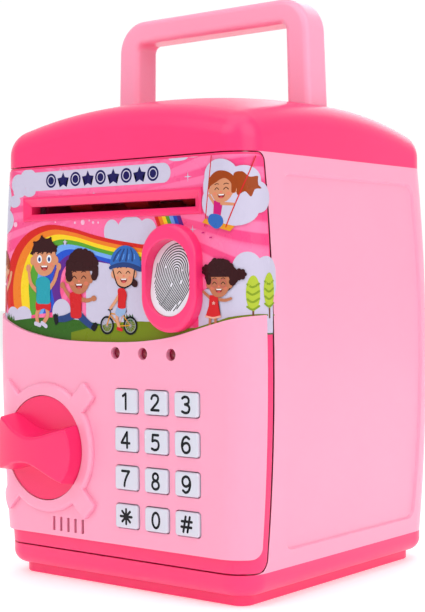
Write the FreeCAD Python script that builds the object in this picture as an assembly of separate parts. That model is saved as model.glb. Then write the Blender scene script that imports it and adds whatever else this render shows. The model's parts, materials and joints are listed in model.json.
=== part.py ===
import FreeCAD, Part
import math
import os

# Toy safe coin bank. Millimetres. Z is up, the front faces -Y, and the viewer's right is +X.
# The origin is the middle of the base's underside.

# Body
HALF_W = 65.0            # at the middle of the bulging sides
HALF_D = 62.7
CORNER_R = 11.0          # the four upright corners
WALL = 3.0
SEAM_LOW = 12.0          # top of the base
SEAM_TOP = 160.8         # underside of the top cover
SIDE_R = 750.0           # the sides' bulge, seen from the front
SIDE_MID = (SEAM_LOW + SEAM_TOP) / 2
RECESS = 1.0             # depth of the field in each side
FRONT = -HALF_D

# Base and cover
SEAM_HALF_W = HALF_W - (SIDE_R - math.sqrt(SIDE_R ** 2 - (SEAM_TOP - SIDE_MID) ** 2))
PLINTH_H = 4.0
PLINTH_INSET = 5.5
DOME_R = 240.0
DOME_TOP = 187.8
DOME_EDGE_R = 10.5
COIN_SLOT = (34.0, 4.8)

# Door
DOOR_LOW = 12.6
DOOR_TOP = 160.3
DOOR_BACK_Y = FRONT + 11.0
DOOR_CORNER_LOW = 4.5
DOOR_CORNER_TOP = 3.0
DOOR_GAP = 0.6
HINGE_X = 56.5
HINGE_Y = FRONT + 7.0
HINGE_PIN_R = 1.5
RUN = 0.06               # radial clearance of what turns
POCKET_X = (-50.0, 50.0)
POCKET_Y = -31.0
POCKET_Z = (17.0, 156.0)

# Front panel
PANEL_T = 2.0
PANEL_SIDE_T = 1.0
PANEL_LOW = 17.8
PANEL_WRAP_Y = FRONT + 7.2
PANEL_FACE = FRONT - PANEL_T
SHEET_T = 0.3
# top edge of the front panel: (x, z)
WAVE = [(-70, 104.0), (-59, 101.5), (-50, 97.8), (-40, 95.3), (-30, 93.8), (-20, 93.1), (-5, 92.9),
        (10, 93.2), (20, 94.0), (30, 95.5), (40, 98.0), (50, 100.6), (60, 102.7), (70, 103.6)]

# Knob
KNOB_X = -33.8
KNOB_Z = 51.6
DIAL_R = 20.0
DIAL_FACE = FRONT - 3.6
RING_R = 25.0
RING_PROUD = 2.0
RING_WRAP_R = 14.5       # the badge bends round the door's corner with this radius
LUG_REACH = 33.0
LUG_W = 8.0
GRIP_RISE = 10.8         # above the dial's face, at the middle and at the ends
GRIP_END_RISE = 6.8
GRIP_WAIST = 4.7         # half heights of the crest
GRIP_END = 9.6
GRIP_FLARE = 2.2         # how much wider it is at the dial
GRIP_TILT = 5.5          # degrees, right end down
SHAFT_R = 4.0
GEAR_MODULE = 1.0
PINION_TEETH = 10
BOLT_X = (-50.4, -19.0)
BOLT_Y = (-48.0, -44.2)
BOLT_Z = (40.2, KNOB_Z - GEAR_MODULE * PINION_TEETH / 2 - 1.2)
RACK_TIP = 2.1           # height of the bolt's teeth
BOLT_TRAVEL = math.radians(90) * GEAR_MODULE * PINION_TEETH / 2

# Keys
KEY_W = 11.0
KEY_H = 8.75
KEY_PITCH = (14.44, 14.19)
KEY_FIRST = (7.85, 71.4)
KEY_FACE = FRONT - 3.1
KEY_NAMES = ["1", "2", "3", "4", "5", "6", "7", "8", "9", "star", "0", "hash"]
MAT_Y = -56.4

# Lamps, speaker, sensor, note slot
LAMPS = [(2.2, 89.0), (15.6, 89.0), (29.1, 89.0)]
LAMP_R = 2.25
SPEAKER = (-23.0, 24.6)
SPEAKER_R = 8.5
SLITS = [-30.6, -26.8, -23.0, -19.2, -15.4]
SLIT = (1.3, 5.4)
SLIT_Z = 22.5
SENSOR = (30.1, 116.5)
BEZEL = (25.4, 39.0)
BEZEL_HOLE = (20.4, 27.6)
BEZEL_FACE = FRONT - 5.2
WINDOW_Y = (-66.6, -61.9)     # the leaning window's front at its foot and at its top
WINDOW_BACK = -60.3
WINDOW_FLANGE_Y = -61.6
NOTE_MOUTH = (-47.3, 42.9, 139.2, 148.6)
NOTE_SLOT = (-44.0, 38.9, 141.9, 144.9)
NOTE_SLOT_Y = -61.9

# Handle
HANDLE_HALF_T = 6.85
HANDLE_Y = 1.2
HANDLE_OUT = (49.8, 48.0)     # half widths at the dome and at the top
HANDLE_IN = (38.6, 37.8)
HANDLE_LEG_X = 44.2
HANDLE_TOP = 224.5
HANDLE_IN_TOP = 215.0
HANDLE_SEAT = 175.0

# Note feeder
LOW_ROLLER_Z = 138.0
TOP_ROLLER_Z = 148.3
ROLLER_Y = -46.5
ROLLER_R = 5.0
FEED_MOTOR_X = (15.0, 40.5)
MOTOR_R = 9.5

ROLLER_TEETH = 20
MOTOR_TEETH = 12
GEAR_X = (44.0, 47.0)
MOTOR_Y = -43.2
GEAR_REACH = GEAR_MODULE * (ROLLER_TEETH + MOTOR_TEETH) / 2
MOTOR_Z = LOW_ROLLER_Z - math.sqrt(GEAR_REACH ** 2 - (MOTOR_Y - ROLLER_Y) ** 2)
AXLE_R = 1.5
TYRE_X = [-29.0, 0.0, 29.0]

# Cells
CELL_R = 7.1
CELL_L = 50.0
CELL_X = [2.0, 17.0, 32.0]
CELL_Y = -42.4
CELL_Z = 28.0
CELL_BOX = (-6.6, 40.6, -51.0, -33.1, 25.4, 81.6)
COVER_PLATE = (-8.2, 42.2, 23.8, 87.2)
COVER_SCREW = (17.0, 84.0)

# Lock solenoid
PLUNGER_X = -35.0
PLUNGER_Y = -46.1
PLUNGER_R = 1.7
PLUNGER_TRAVEL = 2.5
SOLENOID_Z = (20.0, 37.0)

# Screws
SCREW_X = 50.0
SCREW_Y = (-18.0, 50.0)
SCREW_R = 1.5
HEAD_R = 2.8
DOOR_SCREWS = [(-53.0, 19.0), (-53.0, 90.0), (-53.0, 154.0), (51.5, 32.0), (51.5, 90.0), (51.5, 143.0)]


def box(x0, x1, y0, y1, z0, z1):
    return Part.makeBox(x1 - x0, y1 - y0, z1 - z0, FreeCAD.Vector(x0, y0, z0))


def rod(radius, start, end):
    a = FreeCAD.Vector(*start)
    d = FreeCAD.Vector(*end) - a
    return Part.makeCylinder(radius, d.Length, a, d)


def cone(r0, r1, start, end):
    a = FreeCAD.Vector(*start)
    d = FreeCAD.Vector(*end) - a
    return Part.makeCone(r0, r1, d.Length, a, d)


def fuse(shapes):
    return shapes[0].multiFuse(shapes[1:]).removeSplitter()


def prism(points, direction):
    pts = [FreeCAD.Vector(*p) for p in points]
    return Part.Face(Part.makePolygon(pts + pts[:1])).extrude(FreeCAD.Vector(*direction))


def round_edges(shape, radius, chosen):
    return shape.makeFillet(radius, [e for e in shape.Edges if chosen(e.BoundBox)])


def round_box(x0, x1, y0, y1, z0, z1, radius):
    """A block whose edges along Y are rounded."""
    block = box(x0, x1, y0, y1, z0, z1)
    return round_edges(block, radius, lambda b: b.YLength > (y1 - y0) * 0.99)


def stadium(width, height, y0, y1, centre=SENSOR):
    x, z = centre
    return round_box(x - width / 2, x + width / 2, y0, y1, z - height / 2, z + height / 2, width / 2 - 0.01)


def upright(x0, x1, y0, y1, z0, z1, radius):
    """A block whose edges along Z are rounded."""
    block = box(x0, x1, y0, y1, z0, z1)
    return round_edges(block, radius, lambda b: b.ZLength > (z1 - z0) * 0.99)


def side_x(z, extra=0.0):
    """Half width of the body at height z, with the side moved out by extra."""
    return HALF_W - SIDE_R + math.sqrt((SIDE_R + extra) ** 2 - (z - SIDE_MID) ** 2)


def barrel(side, front, z0, z1):
    """The body's outline with its sides and its front and back moved out by side and front."""
    mid = (z0 + z1) / 2
    corners = [FreeCAD.Vector(s * side_x(z, side), -HALF_D - front, z)
               for s, z in ((-1, z0), (1, z0), (1, z1), (-1, z1))]
    bulge = [FreeCAD.Vector(s * side_x(mid, side), -HALF_D - front, mid) for s in (1, -1)]
    edges = [Part.LineSegment(corners[0], corners[1]).toShape(),
             Part.Arc(corners[1], bulge[0], corners[2]).toShape(),
             Part.LineSegment(corners[2], corners[3]).toShape(),
             Part.Arc(corners[3], bulge[1], corners[0]).toShape()]
    block = Part.Face(Part.Wire(edges)).extrude(FreeCAD.Vector(0, 2 * (HALF_D + front), 0))
    radius = CORNER_R + (side + front) / 2
    return round_edges(block, radius, lambda b: b.ZLength > (z1 - z0) * 0.9)


def footprint(inset, z0, z1):
    """The outline at the seams, straight up."""
    x = SEAM_HALF_W - inset
    y = HALF_D - inset
    return upright(-x, x, -y, y, z0, z1, CORNER_R - inset)


def door_edge_y(z):
    """Where the door's side ends at height z, its rear corners being round."""
    for low, radius in ((z - DOOR_LOW, DOOR_CORNER_LOW), (DOOR_TOP - z, DOOR_CORNER_TOP)):
        if low < radius:
            return DOOR_BACK_Y - radius + math.sqrt(max(radius ** 2 - (radius - max(low, 0)) ** 2, 0))
    return DOOR_BACK_Y


def door_outline(gap):
    """The door seen from the side, with gap added behind it, as wide as the body."""
    y1 = DOOR_BACK_Y + gap
    z0 = DOOR_LOW - gap
    z1 = DOOR_TOP + gap
    block = box(-80, 80, FRONT - 20, y1, z0, z1)
    block = round_edges(block, DOOR_CORNER_LOW + gap,
                        lambda b: b.XLength > 100 and b.YMin > FRONT and b.ZMax < z0 + 1)
    return round_edges(block, DOOR_CORNER_TOP + gap,
                       lambda b: b.XLength > 100 and b.YMin > FRONT and b.ZMin > z1 - 1)


def hinge_sweep():
    """The room that the door's rounded right edge turns in."""
    middle = [DOOR_LOW + (DOOR_TOP - DOOR_LOW) * i / 12 for i in range(1, 12)]
    near = [0, 0.4, 1, 2, 3, 4.5, 6]
    heights = [DOOR_LOW + h for h in near] + middle + [DOOR_TOP - h for h in reversed(near)]
    points = []
    for z in heights:
        reach = math.hypot(side_x(z) - HINGE_X, max(door_edge_y(z) - HINGE_Y, 0)) + 0.45
        points.append(FreeCAD.Vector(HINGE_X + reach, HINGE_Y, z))
    curve = Part.BSplineCurve()
    curve.interpolate(points)
    low = FreeCAD.Vector(HINGE_X, HINGE_Y, heights[0])
    top = FreeCAD.Vector(HINGE_X, HINGE_Y, heights[-1])
    edges = [Part.LineSegment(low, points[0]).toShape(), curve.toShape(),
             Part.LineSegment(points[-1], top).toShape(), Part.LineSegment(top, low).toShape()]
    return Part.Face(Part.Wire(edges)).revolve(low, FreeCAD.Vector(0, 0, 1), 360)


def wave_cutter(gap):
    """Everything above the front panel's wavy top edge, less gap."""
    curve = Part.BSplineCurve()
    curve.interpolate([FreeCAD.Vector(x, -80, z + gap) for x, z in WAVE])
    left = FreeCAD.Vector(WAVE[0][0], -80, 200)
    right = FreeCAD.Vector(WAVE[-1][0], -80, 200)
    edges = [curve.toShape(), Part.LineSegment(curve.EndPoint, right).toShape(),
             Part.LineSegment(right, left).toShape(), Part.LineSegment(left, curve.StartPoint).toShape()]
    return Part.Face(Part.Wire(edges)).extrude(FreeCAD.Vector(0, 60, 0))


def key_centre(index):
    column = index % 3
    row = index // 3
    return KEY_FIRST[0] + column * KEY_PITCH[0], KEY_FIRST[1] - row * KEY_PITCH[1]


def panel_holes(y0, y1):
    """Key, lamp, slit and shaft holes that run through the door and its front panel."""
    holes = []
    for index in range(len(KEY_NAMES)):
        x, z = key_centre(index)
        w = KEY_W / 2 + 0.35
        h = KEY_H / 2 + 0.35
        holes.append(round_box(x - w, x + w, y0, y1, z - h, z + h, 1.4))
    for x, z in LAMPS:
        holes.append(rod(LAMP_R, (x, y0, z), (x, y1, z)))
    w, h = SLIT
    for x in SLITS:
        holes.append(box(x - w / 2, x + w / 2, y0, y1, SLIT_Z - h / 2, SLIT_Z + h / 2))
    return holes


def corner_bosses(y_list, z0, z1):
    """Screw posts along the body's side walls."""
    posts = []
    for y in y_list:
        for side in (-1, 1):
            posts.append(rod(3.6, (side * SCREW_X, y, z0), (side * SCREW_X, y, z1)))
            reach = sorted((side * SCREW_X, side * HALF_W))
            posts.append(box(*reach, y - 1.5, y + 1.5, z0, z1))
    return posts


def base_tray():
    band = footprint(0, PLINTH_H, SEAM_LOW)
    band = round_edges(band, 5.0, lambda b: b.ZMax < PLINTH_H + 0.01)
    plinth = footprint(PLINTH_INSET, 0, PLINTH_H + 1)
    plinth = round_edges(plinth, 0.8, lambda b: b.ZMax < 0.01)
    tray = band.fuse(plinth).cut(footprint(PLINTH_INSET + WALL, 2.5, SEAM_LOW + 1))
    tray = tray.cut(footprint(WALL, PLINTH_H + 3, SEAM_LOW + 1))
    posts = [rod(4.5, (s * SCREW_X, y, 1), (s * SCREW_X, y, SEAM_LOW)) for s in (-1, 1) for y in SCREW_Y]
    pin_post = rod(5.0, (HINGE_X, HINGE_Y, PLINTH_H), (HINGE_X, HINGE_Y, SEAM_LOW)).common(band)
    tray = fuse([tray, pin_post] + posts)
    for side in (-1, 1):
        for y in SCREW_Y:
            x = side * SCREW_X
            tray = tray.cut(rod(SCREW_R + 0.2, (x, y, -1), (x, y, 20)))
            tray = tray.cut(rod(HEAD_R + 0.3, (x, y, -1), (x, y, 4)))
    return tray.cut(rod(HINGE_PIN_R, (HINGE_X, HINGE_Y, 6), (HINGE_X, HINGE_Y, 20)))


def side_field(side):
    """The shallow field in one side, with sloping edges."""
    def outline(x, grow):
        y0, y1, z0, z1 = -40.7 - grow, 49.3 + grow, 18 - grow, 154 + grow
        pts = [(x, y0, z0), (x, y1, z0), (x, y1, z1), (x, y0, z1)]
        return Part.makePolygon([FreeCAD.Vector(*p) for p in pts + pts[:1]])
    solid = Part.makeLoft([outline(side * 60, -1.5), outline(side * 66, 2.5)], True)
    edges = [e for e in solid.Edges if e.BoundBox.XLength > 5]
    return solid.makeFillet(5.0, edges)


def body_shell():
    shell = barrel(0, 0, SEAM_LOW, SEAM_TOP).cut(barrel(-WALL, -WALL, SEAM_LOW - 1, SEAM_TOP + 1))
    posts = corner_bosses(SCREW_Y, SEAM_LOW, SEAM_LOW + 16) + corner_bosses(SCREW_Y, 156, SEAM_TOP)
    inner = barrel(-1, -1, SEAM_LOW, SEAM_TOP)
    shell = fuse([shell] + [p.common(inner) for p in posts])
    core = barrel(-RECESS, 5, SEAM_LOW - 1, SEAM_TOP + 1)
    for side in (-1, 1):
        shell = shell.cut(side_field(side).cut(core))
    shell = shell.cut(door_outline(DOOR_GAP)).cut(box(-80, 80, -80, FRONT + 4, 0, 200))
    shell = shell.cut(hinge_sweep())
    shell = shell.cut(rod(HINGE_PIN_R, (HINGE_X, HINGE_Y, 0), (HINGE_X, HINGE_Y, SEAM_TOP)))
    for side in (-1, 1):
        for y in SCREW_Y:
            x = side * SCREW_X
            shell = shell.cut(rod(1.25, (x, y, SEAM_LOW - 1), (x, y, SEAM_LOW + 12)))
            shell = shell.cut(rod(SCREW_R + 0.2, (x, y, 150), (x, y, SEAM_TOP + 1)))
    return shell


def latch_keeper():
    """The bar on the left wall that the latch bolt slides behind, with its brace."""
    room = barrel(-WALL, -WALL, SEAM_LOW, SEAM_TOP)
    bar = box(-63, -54.6, -51.0, -48.2, KNOB_Z - 15, KNOB_Z + 5)
    z = KNOB_Z + 3.2
    brace = prism([(-62, -49, z), (-55.2, -49, z), (-62, -40, z)], (0, 0, 1.8))
    return fuse([bar, brace]).common(room)


def top_cover():
    ball = Part.makeSphere(DOME_R, FreeCAD.Vector(0, 0, DOME_TOP - DOME_R))
    cover = footprint(0, SEAM_TOP, DOME_TOP + 5).common(ball)
    cover = round_edges(cover, DOME_EDGE_R, lambda b: b.ZMin > SEAM_TOP + 5)
    inner_ball = Part.makeSphere(DOME_R - WALL, FreeCAD.Vector(0, 0, DOME_TOP - DOME_R))
    hollow = footprint(WALL, SEAM_TOP - 1, DOME_TOP + 5).common(inner_ball)
    hollow = round_edges(hollow, DOME_EDGE_R - WALL, lambda b: b.ZMin > SEAM_TOP + 5)
    spots = [(side * SCREW_X, y) for side in (-1, 1) for y in SCREW_Y]
    posts = [rod(3.6, (x, y, SEAM_TOP), (x, y, DOME_TOP)) for x, y in spots]
    pin_post = rod(4.2, (HINGE_X - 1, HINGE_Y + 1, SEAM_TOP), (HINGE_X - 1, HINGE_Y + 1, 174))
    seats = [rod(4.4, (s * HANDLE_LEG_X, HANDLE_Y, 178), (s * HANDLE_LEG_X, HANDLE_Y, 186)) for s in (-1, 1)]
    inside = cover.common(fuse(posts + [pin_post]))
    cover = fuse([cover.cut(hollow), inside] + [seat.common(cover) for seat in seats])
    for x, y in spots:
        cover = cover.cut(rod(1.25, (x, y, SEAM_TOP - 1), (x, y, SEAM_TOP + 12)))
    for side in (-1, 1):
        x = side * HANDLE_LEG_X
        cover = cover.cut(rod(SCREW_R + 0.2, (x, HANDLE_Y, 170), (x, HANDLE_Y, 190)))
    half_l, half_w = COIN_SLOT[0] / 2, COIN_SLOT[1] / 2
    slot = upright(-half_l, half_l, -half_w, half_w, 180, 190, half_w - 0.01)
    cover = cover.cut(slot)
    return cover.cut(rod(HINGE_PIN_R, (HINGE_X, HINGE_Y, SEAM_TOP - 1), (HINGE_X, HINGE_Y, 169)))


def handle():
    out = [(-HANDLE_OUT[0], HANDLE_SEAT), (-HANDLE_OUT[1], HANDLE_TOP), (HANDLE_OUT[1], HANDLE_TOP),
           (HANDLE_OUT[0], HANDLE_SEAT)]
    hole = [(-HANDLE_IN[0], HANDLE_SEAT - 1), (-HANDLE_IN[1], HANDLE_IN_TOP), (HANDLE_IN[1], HANDLE_IN_TOP),
            (HANDLE_IN[0], HANDLE_SEAT - 1)]
    thick = 2 * HANDLE_HALF_T
    front = HANDLE_Y - HANDLE_HALF_T
    bar = prism([(x, front, z) for x, z in out], (0, thick, 0))
    bar = round_edges(bar, 13.0, lambda b: b.YLength > thick - 0.1 and b.ZMin > HANDLE_TOP - 1)
    gap = prism([(x, front - 1, z) for x, z in hole], (0, thick + 2, 0))
    gap = round_edges(gap, 3.0, lambda b: b.YLength > thick and b.ZMin > HANDLE_IN_TOP - 1)
    bar = bar.cut(gap)
    bar = bar.makeFillet(2.6, [e for e in bar.Edges if e.BoundBox.YLength < 0.1 and e.BoundBox.ZMax > 190])
    bar = bar.cut(Part.makeSphere(DOME_R, FreeCAD.Vector(0, 0, DOME_TOP - DOME_R)))
    for side in (-1, 1):
        x = side * HANDLE_LEG_X
        bar = bar.cut(rod(1.25, (x, HANDLE_Y, 170), (x, HANDLE_Y, 196)))
    return bar


def screw(x, y, z_head, length, way):
    """A pan-head screw along Z; way is +1 when its point is up."""
    head = rod(HEAD_R, (x, y, z_head - 1.8 * way), (x, y, z_head))
    shank = rod(1.24, (x, y, z_head - 0.5 * way), (x, y, z_head + (length - 1.2) * way))
    tip = cone(1.24, 0.3, (x, y, z_head + (length - 1.2) * way), (x, y, z_head + length * way))
    slot_a = box(x - 1.6, x + 1.6, y - 0.35, y + 0.35, z_head - 1.9, z_head - 1.0)
    slot_b = box(x - 0.35, x + 0.35, y - 1.6, y + 1.6, z_head - 1.9, z_head - 1.0)
    return fuse([head, shank, tip]).cut(slot_a.fuse(slot_b))


def base_screws():
    return [screw(s * SCREW_X, y, 4.0, 18.0, 1) for s in (-1, 1) for y in SCREW_Y]


def cover_screws():
    return [screw(s * SCREW_X, y, 156.0, 14.0, 1) for s in (-1, 1) for y in SCREW_Y]


def handle_screws():
    return [screw(s * HANDLE_LEG_X, HANDLE_Y, 178.0, 16.0, 1) for s in (-1, 1)]


def hinge_pins():
    low = rod(HINGE_PIN_R, (HINGE_X, HINGE_Y, 6), (HINGE_X, HINGE_Y, DOOR_LOW + 9))
    top = rod(HINGE_PIN_R, (HINGE_X, HINGE_Y, DOOR_TOP - 9), (HINGE_X, HINGE_Y, 169))
    return [low, top]


def door_panel():
    skin = barrel(0, 0, DOOR_LOW, DOOR_TOP)
    hollow = barrel(-WALL, -WALL, DOOR_LOW + 2.6, DOOR_TOP - 2.6)
    outline = door_outline(0)
    door = skin.cut(hollow).common(outline)
    knuckles = [rod(3.4, (HINGE_X, HINGE_Y, DOOR_LOW), (HINGE_X, HINGE_Y, DOOR_LOW + 11)),
                rod(3.4, (HINGE_X, HINGE_Y, DOOR_TOP - 11), (HINGE_X, HINGE_Y, DOOR_TOP))]
    posts = [rod(3.0, (x, FRONT + 1, z), (x, DOOR_BACK_Y, z)) for x, z in DOOR_SCREWS]
    sleeve = rod(6.5, (KNOB_X, FRONT + 1, KNOB_Z), (KNOB_X, -57.2, KNOB_Z))
    whole = skin.common(outline)
    door = fuse([door, sleeve] + [p.common(whole) for p in knuckles + posts])
    for x, z in DOOR_SCREWS:
        door = door.cut(rod(1.0, (x, FRONT + 3, z), (x, 0, z)))
    door = door.cut(rod(SHAFT_R + RUN, (KNOB_X, -80, KNOB_Z), (KNOB_X, -50, KNOB_Z)))
    for z in ((DOOR_LOW - 1, DOOR_LOW + 9.3), (DOOR_TOP - 9.3, DOOR_TOP + 1)):
        door = door.cut(rod(HINGE_PIN_R + RUN, (HINGE_X, HINGE_Y, z[0]), (HINGE_X, HINGE_Y, z[1])))
    for hole in panel_holes(-80, -58):
        door = door.cut(hole)
    x0, x1, z0, z1 = NOTE_MOUTH
    door = door.cut(box(x0 + 1, x1 - 1, -80, -58, z0 + 1, z1 - 1))
    return door.cut(stadium(BEZEL[0] - 1.0, BEZEL[1] - 1.0, -80, -58))


def front_panel():
    skin = barrel(PANEL_SIDE_T, PANEL_T, PANEL_LOW, 110).cut(barrel(0, 0, PANEL_LOW - 1, 111))
    front = box(-80, 80, -90, PANEL_WRAP_Y, PANEL_LOW, 110)
    front = round_edges(front, 4.0, lambda b: b.XLength > 100 and b.YMin > FRONT and b.ZMax < PANEL_LOW + 1)
    skin = skin.common(front).cut(wave_cutter(0))
    y1 = FRONT
    y0 = PANEL_FACE - RING_PROUD
    ring = rod(RING_R, (KNOB_X, y0, KNOB_Z), (KNOB_X, y1, KNOB_Z))
    parts = [round_edges(ring, 1.5, lambda b: b.YMax < y0 + 0.01)]
    for angle in (45, 135, 225, 315):
        lug = upright(RING_R - 8, LUG_REACH, -LUG_W / 2, LUG_W / 2, 0, y1 - y0, 1.2)
        lug = round_edges(lug, 0.7, lambda b: b.ZMin > y1 - y0 - 0.01)
        lug.rotate(FreeCAD.Vector(0, 0, 0), FreeCAD.Vector(0, 0, 1), angle)
        lug.rotate(FreeCAD.Vector(0, 0, 0), FreeCAD.Vector(1, 0, 0), 90)
        lug.translate(FreeCAD.Vector(KNOB_X, y1, KNOB_Z))
        parts.append(lug)
    reach = HALF_W - 0.7
    badge = fuse(parts).common(upright(-reach, reach, y0, 0, PANEL_LOW, 110, RING_WRAP_R))
    panel = fuse([skin, badge.cut(barrel(0, 0, PANEL_LOW - 1, 111))])
    panel = panel.cut(rod(DIAL_R + 0.3, (KNOB_X, -90, KNOB_Z), (KNOB_X, FRONT + 1, KNOB_Z)))
    for hole in panel_holes(-90, -60):
        panel = panel.cut(hole)
    return panel


def graphic_sheet():
    skin = barrel(SHEET_T, SHEET_T, 80, DOOR_TOP - 0.6).cut(barrel(0, 0, 79, DOOR_TOP))
    skin = skin.common(door_outline(-0.8)).common(wave_cutter(0.1))
    x0, x1, z0, z1 = NOTE_MOUTH
    skin = skin.cut(box(x0, x1, -90, -60, z0, z1))
    return skin.cut(stadium(BEZEL[0], BEZEL[1], -90, -60))


def note_slot_frame():
    x0, x1, z0, z1 = NOTE_MOUTH
    sx0, sx1, sz0, sz1 = NOTE_SLOT
    plate = box(x0, x1, FRONT - 0.9, FRONT, z0, z1)
    plate = round_edges(plate, 0.4, lambda b: b.YMax < FRONT - 0.8)
    neck = box(x0 + 1.1, x1 - 1.1, FRONT, -57.2, z0 + 1.1, z1 - 1.1)

    def mouth(y, grow):
        pts = [(sx0 - grow[0], y, sz0 - grow[2]), (sx1 + grow[1], y, sz0 - grow[2]),
               (sx1 + grow[1], y, sz1 + grow[3]), (sx0 - grow[0], y, sz1 + grow[3])]
        return Part.makePolygon([FreeCAD.Vector(*p) for p in pts + pts[:1]])
    wide = mouth(FRONT - 0.91, (2.5, 3.2, 2.0, 2.9))
    funnel = Part.makeLoft([wide, mouth(NOTE_SLOT_Y, (0, 0, 0, 0))], True)
    slot = box(sx0, sx1, NOTE_SLOT_Y - 0.1, -50, sz0, sz1)
    return plate.fuse(neck).cut(funnel).cut(slot).removeSplitter()


def sensor_bezel():
    ring = stadium(BEZEL[0], BEZEL[1], BEZEL_FACE, FRONT)
    ring = round_edges(ring, 1.7, lambda b: b.YMax < BEZEL_FACE + 0.01)
    hole = stadium(BEZEL_HOLE[0], BEZEL_HOLE[1], BEZEL_FACE - 1, -50)
    ring = ring.cut(hole)
    x = SENSOR[0]
    reach = BEZEL_HOLE[0] / 2 + 0.1
    lip = [e for e in ring.Edges if e.BoundBox.YMax < BEZEL_FACE + 0.01
           and e.BoundBox.XMin > x - reach and e.BoundBox.XMax < x + reach]
    ring = ring.makeFillet(0.6, lip)
    neck = stadium(BEZEL[0] - 1.2, BEZEL[1] - 1.2, FRONT, -59.8).cut(hole)
    seat = stadium(BEZEL_HOLE[0] + 1.4, BEZEL_HOLE[1] + 1.4, WINDOW_FLANGE_Y, -50)
    return ring.fuse(neck).cut(seat).removeSplitter()


def fingerprint_window():
    """A plug whose printed front leans back from its foot to its top, on a flange."""
    foot, top = WINDOW_Y
    plug = stadium(BEZEL_HOLE[0] - 0.3, BEZEL_HOLE[1] - 0.3, foot - 1, WINDOW_BACK)
    x, z = SENSOR
    low = z - BEZEL_HOLE[1] / 2 + 0.15
    high = z + BEZEL_HOLE[1] / 2 - 0.15
    y = foot - 5
    ahead = [(x - 20, y, low - 5), (x - 20, foot, low), (x - 20, top, high), (x - 20, y, high + 5)]
    flange = stadium(BEZEL_HOLE[0] + 1.2, BEZEL_HOLE[1] + 1.2, WINDOW_FLANGE_Y, WINDOW_BACK)
    return plug.cut(prism(ahead, (40, 0, 0))).fuse(flange).removeSplitter()


def sensor_board():
    x, z = SENSOR
    board = box(x - 11, x + 11, -59.4, -58.0, z - 17, z + 17)
    chip = box(x - 6, x + 6, -60.2, -59.4, z - 6, z + 6)
    return board.fuse(chip).removeSplitter()


def lamp_lenses():
    lenses = []
    for x, z in LAMPS:
        body = rod(LAMP_R - 0.05, (x, FRONT + 0.4, z), (x, -57.6, z))
        dome = Part.makeSphere(3.0, FreeCAD.Vector(x, FRONT + 2.4, z)).common(
            rod(LAMP_R - 0.05, (x, FRONT - 1.5, z), (x, FRONT + 0.4, z)))
        flange = rod(3.2, (x, -59.6, z), (x, -58.6, z))
        lenses.append(fuse([body, dome, flange]))
    return lenses


def key(index):
    x, z = key_centre(index)
    cap = round_box(x - KEY_W / 2, x + KEY_W / 2, KEY_FACE, -59.3, z - KEY_H / 2, z + KEY_H / 2, 1.2)
    cap = round_edges(cap, 0.7, lambda b: b.YMax < KEY_FACE + 0.01)
    flange = box(x - 6.9, x + 6.9, -59.3, -58.3, z - 6.1, z + 6.1)
    return cap.fuse(flange).removeSplitter()


def keypad_span(grow):
    x0, z1 = key_centre(0)
    x1, z0 = key_centre(11)
    return x0 - 7 - grow, x1 + 6.9 + grow, z0 - 7 - grow, z1 + 7 + grow


def key_mat():
    x0, x1, z0, z1 = keypad_span(0.5)
    parts = [box(x0, x1, MAT_Y + 0.5, MAT_Y + 1.3, z0, z1)]
    for index in range(len(KEY_NAMES)):
        x, z = key_centre(index)
        parts.append(cone(2.6, 3.6, (x, MAT_Y, z), (x, MAT_Y + 0.5, z)))
    return fuse(parts)


def keypad_board():
    x0, x1, z0, z1 = keypad_span(0.5)
    return box(x0, x1, MAT_Y + 1.3, MAT_Y + 2.7, z0, z1)


def main_board():
    board = box(-46, -2, -55.4, -54.0, 88, 128)
    chips = [box(-40, -30, -54.0, -52.4, 96, 106), box(-22, -14, -54.0, -52.6, 110, 116)]
    cans = [rod(2.5, (x, -54.0, 96), (x, -47.0, 96)) for x in (-24.0, -17.0)]
    return fuse([board] + chips + cans)


def speaker_frame():
    x, z = SPEAKER
    rim = rod(SPEAKER_R, (x, -59.4, z), (x, -57.6, z)).cut(rod(SPEAKER_R - 1.5, (x, -60, z), (x, -57.6, z)))
    basket = cone(SPEAKER_R, 4.5, (x, -57.6, z), (x, -54.6, z))
    inner = cone(SPEAKER_R - 1.5, 3.0, (x, -57.6, z), (x, -54.6, z))
    magnet = rod(5.0, (x, -54.6, z), (x, -52.6, z))
    return fuse([rim, basket.cut(inner), magnet])


def speaker_cone():
    x, z = SPEAKER
    shell = cone(SPEAKER_R - 1.6, 3.0, (x, -58.9, z), (x, -55.9, z))
    return shell.cut(cone(SPEAKER_R - 2.0, 2.4, (x, -59.3, z), (x, -56.3, z)))


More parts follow.
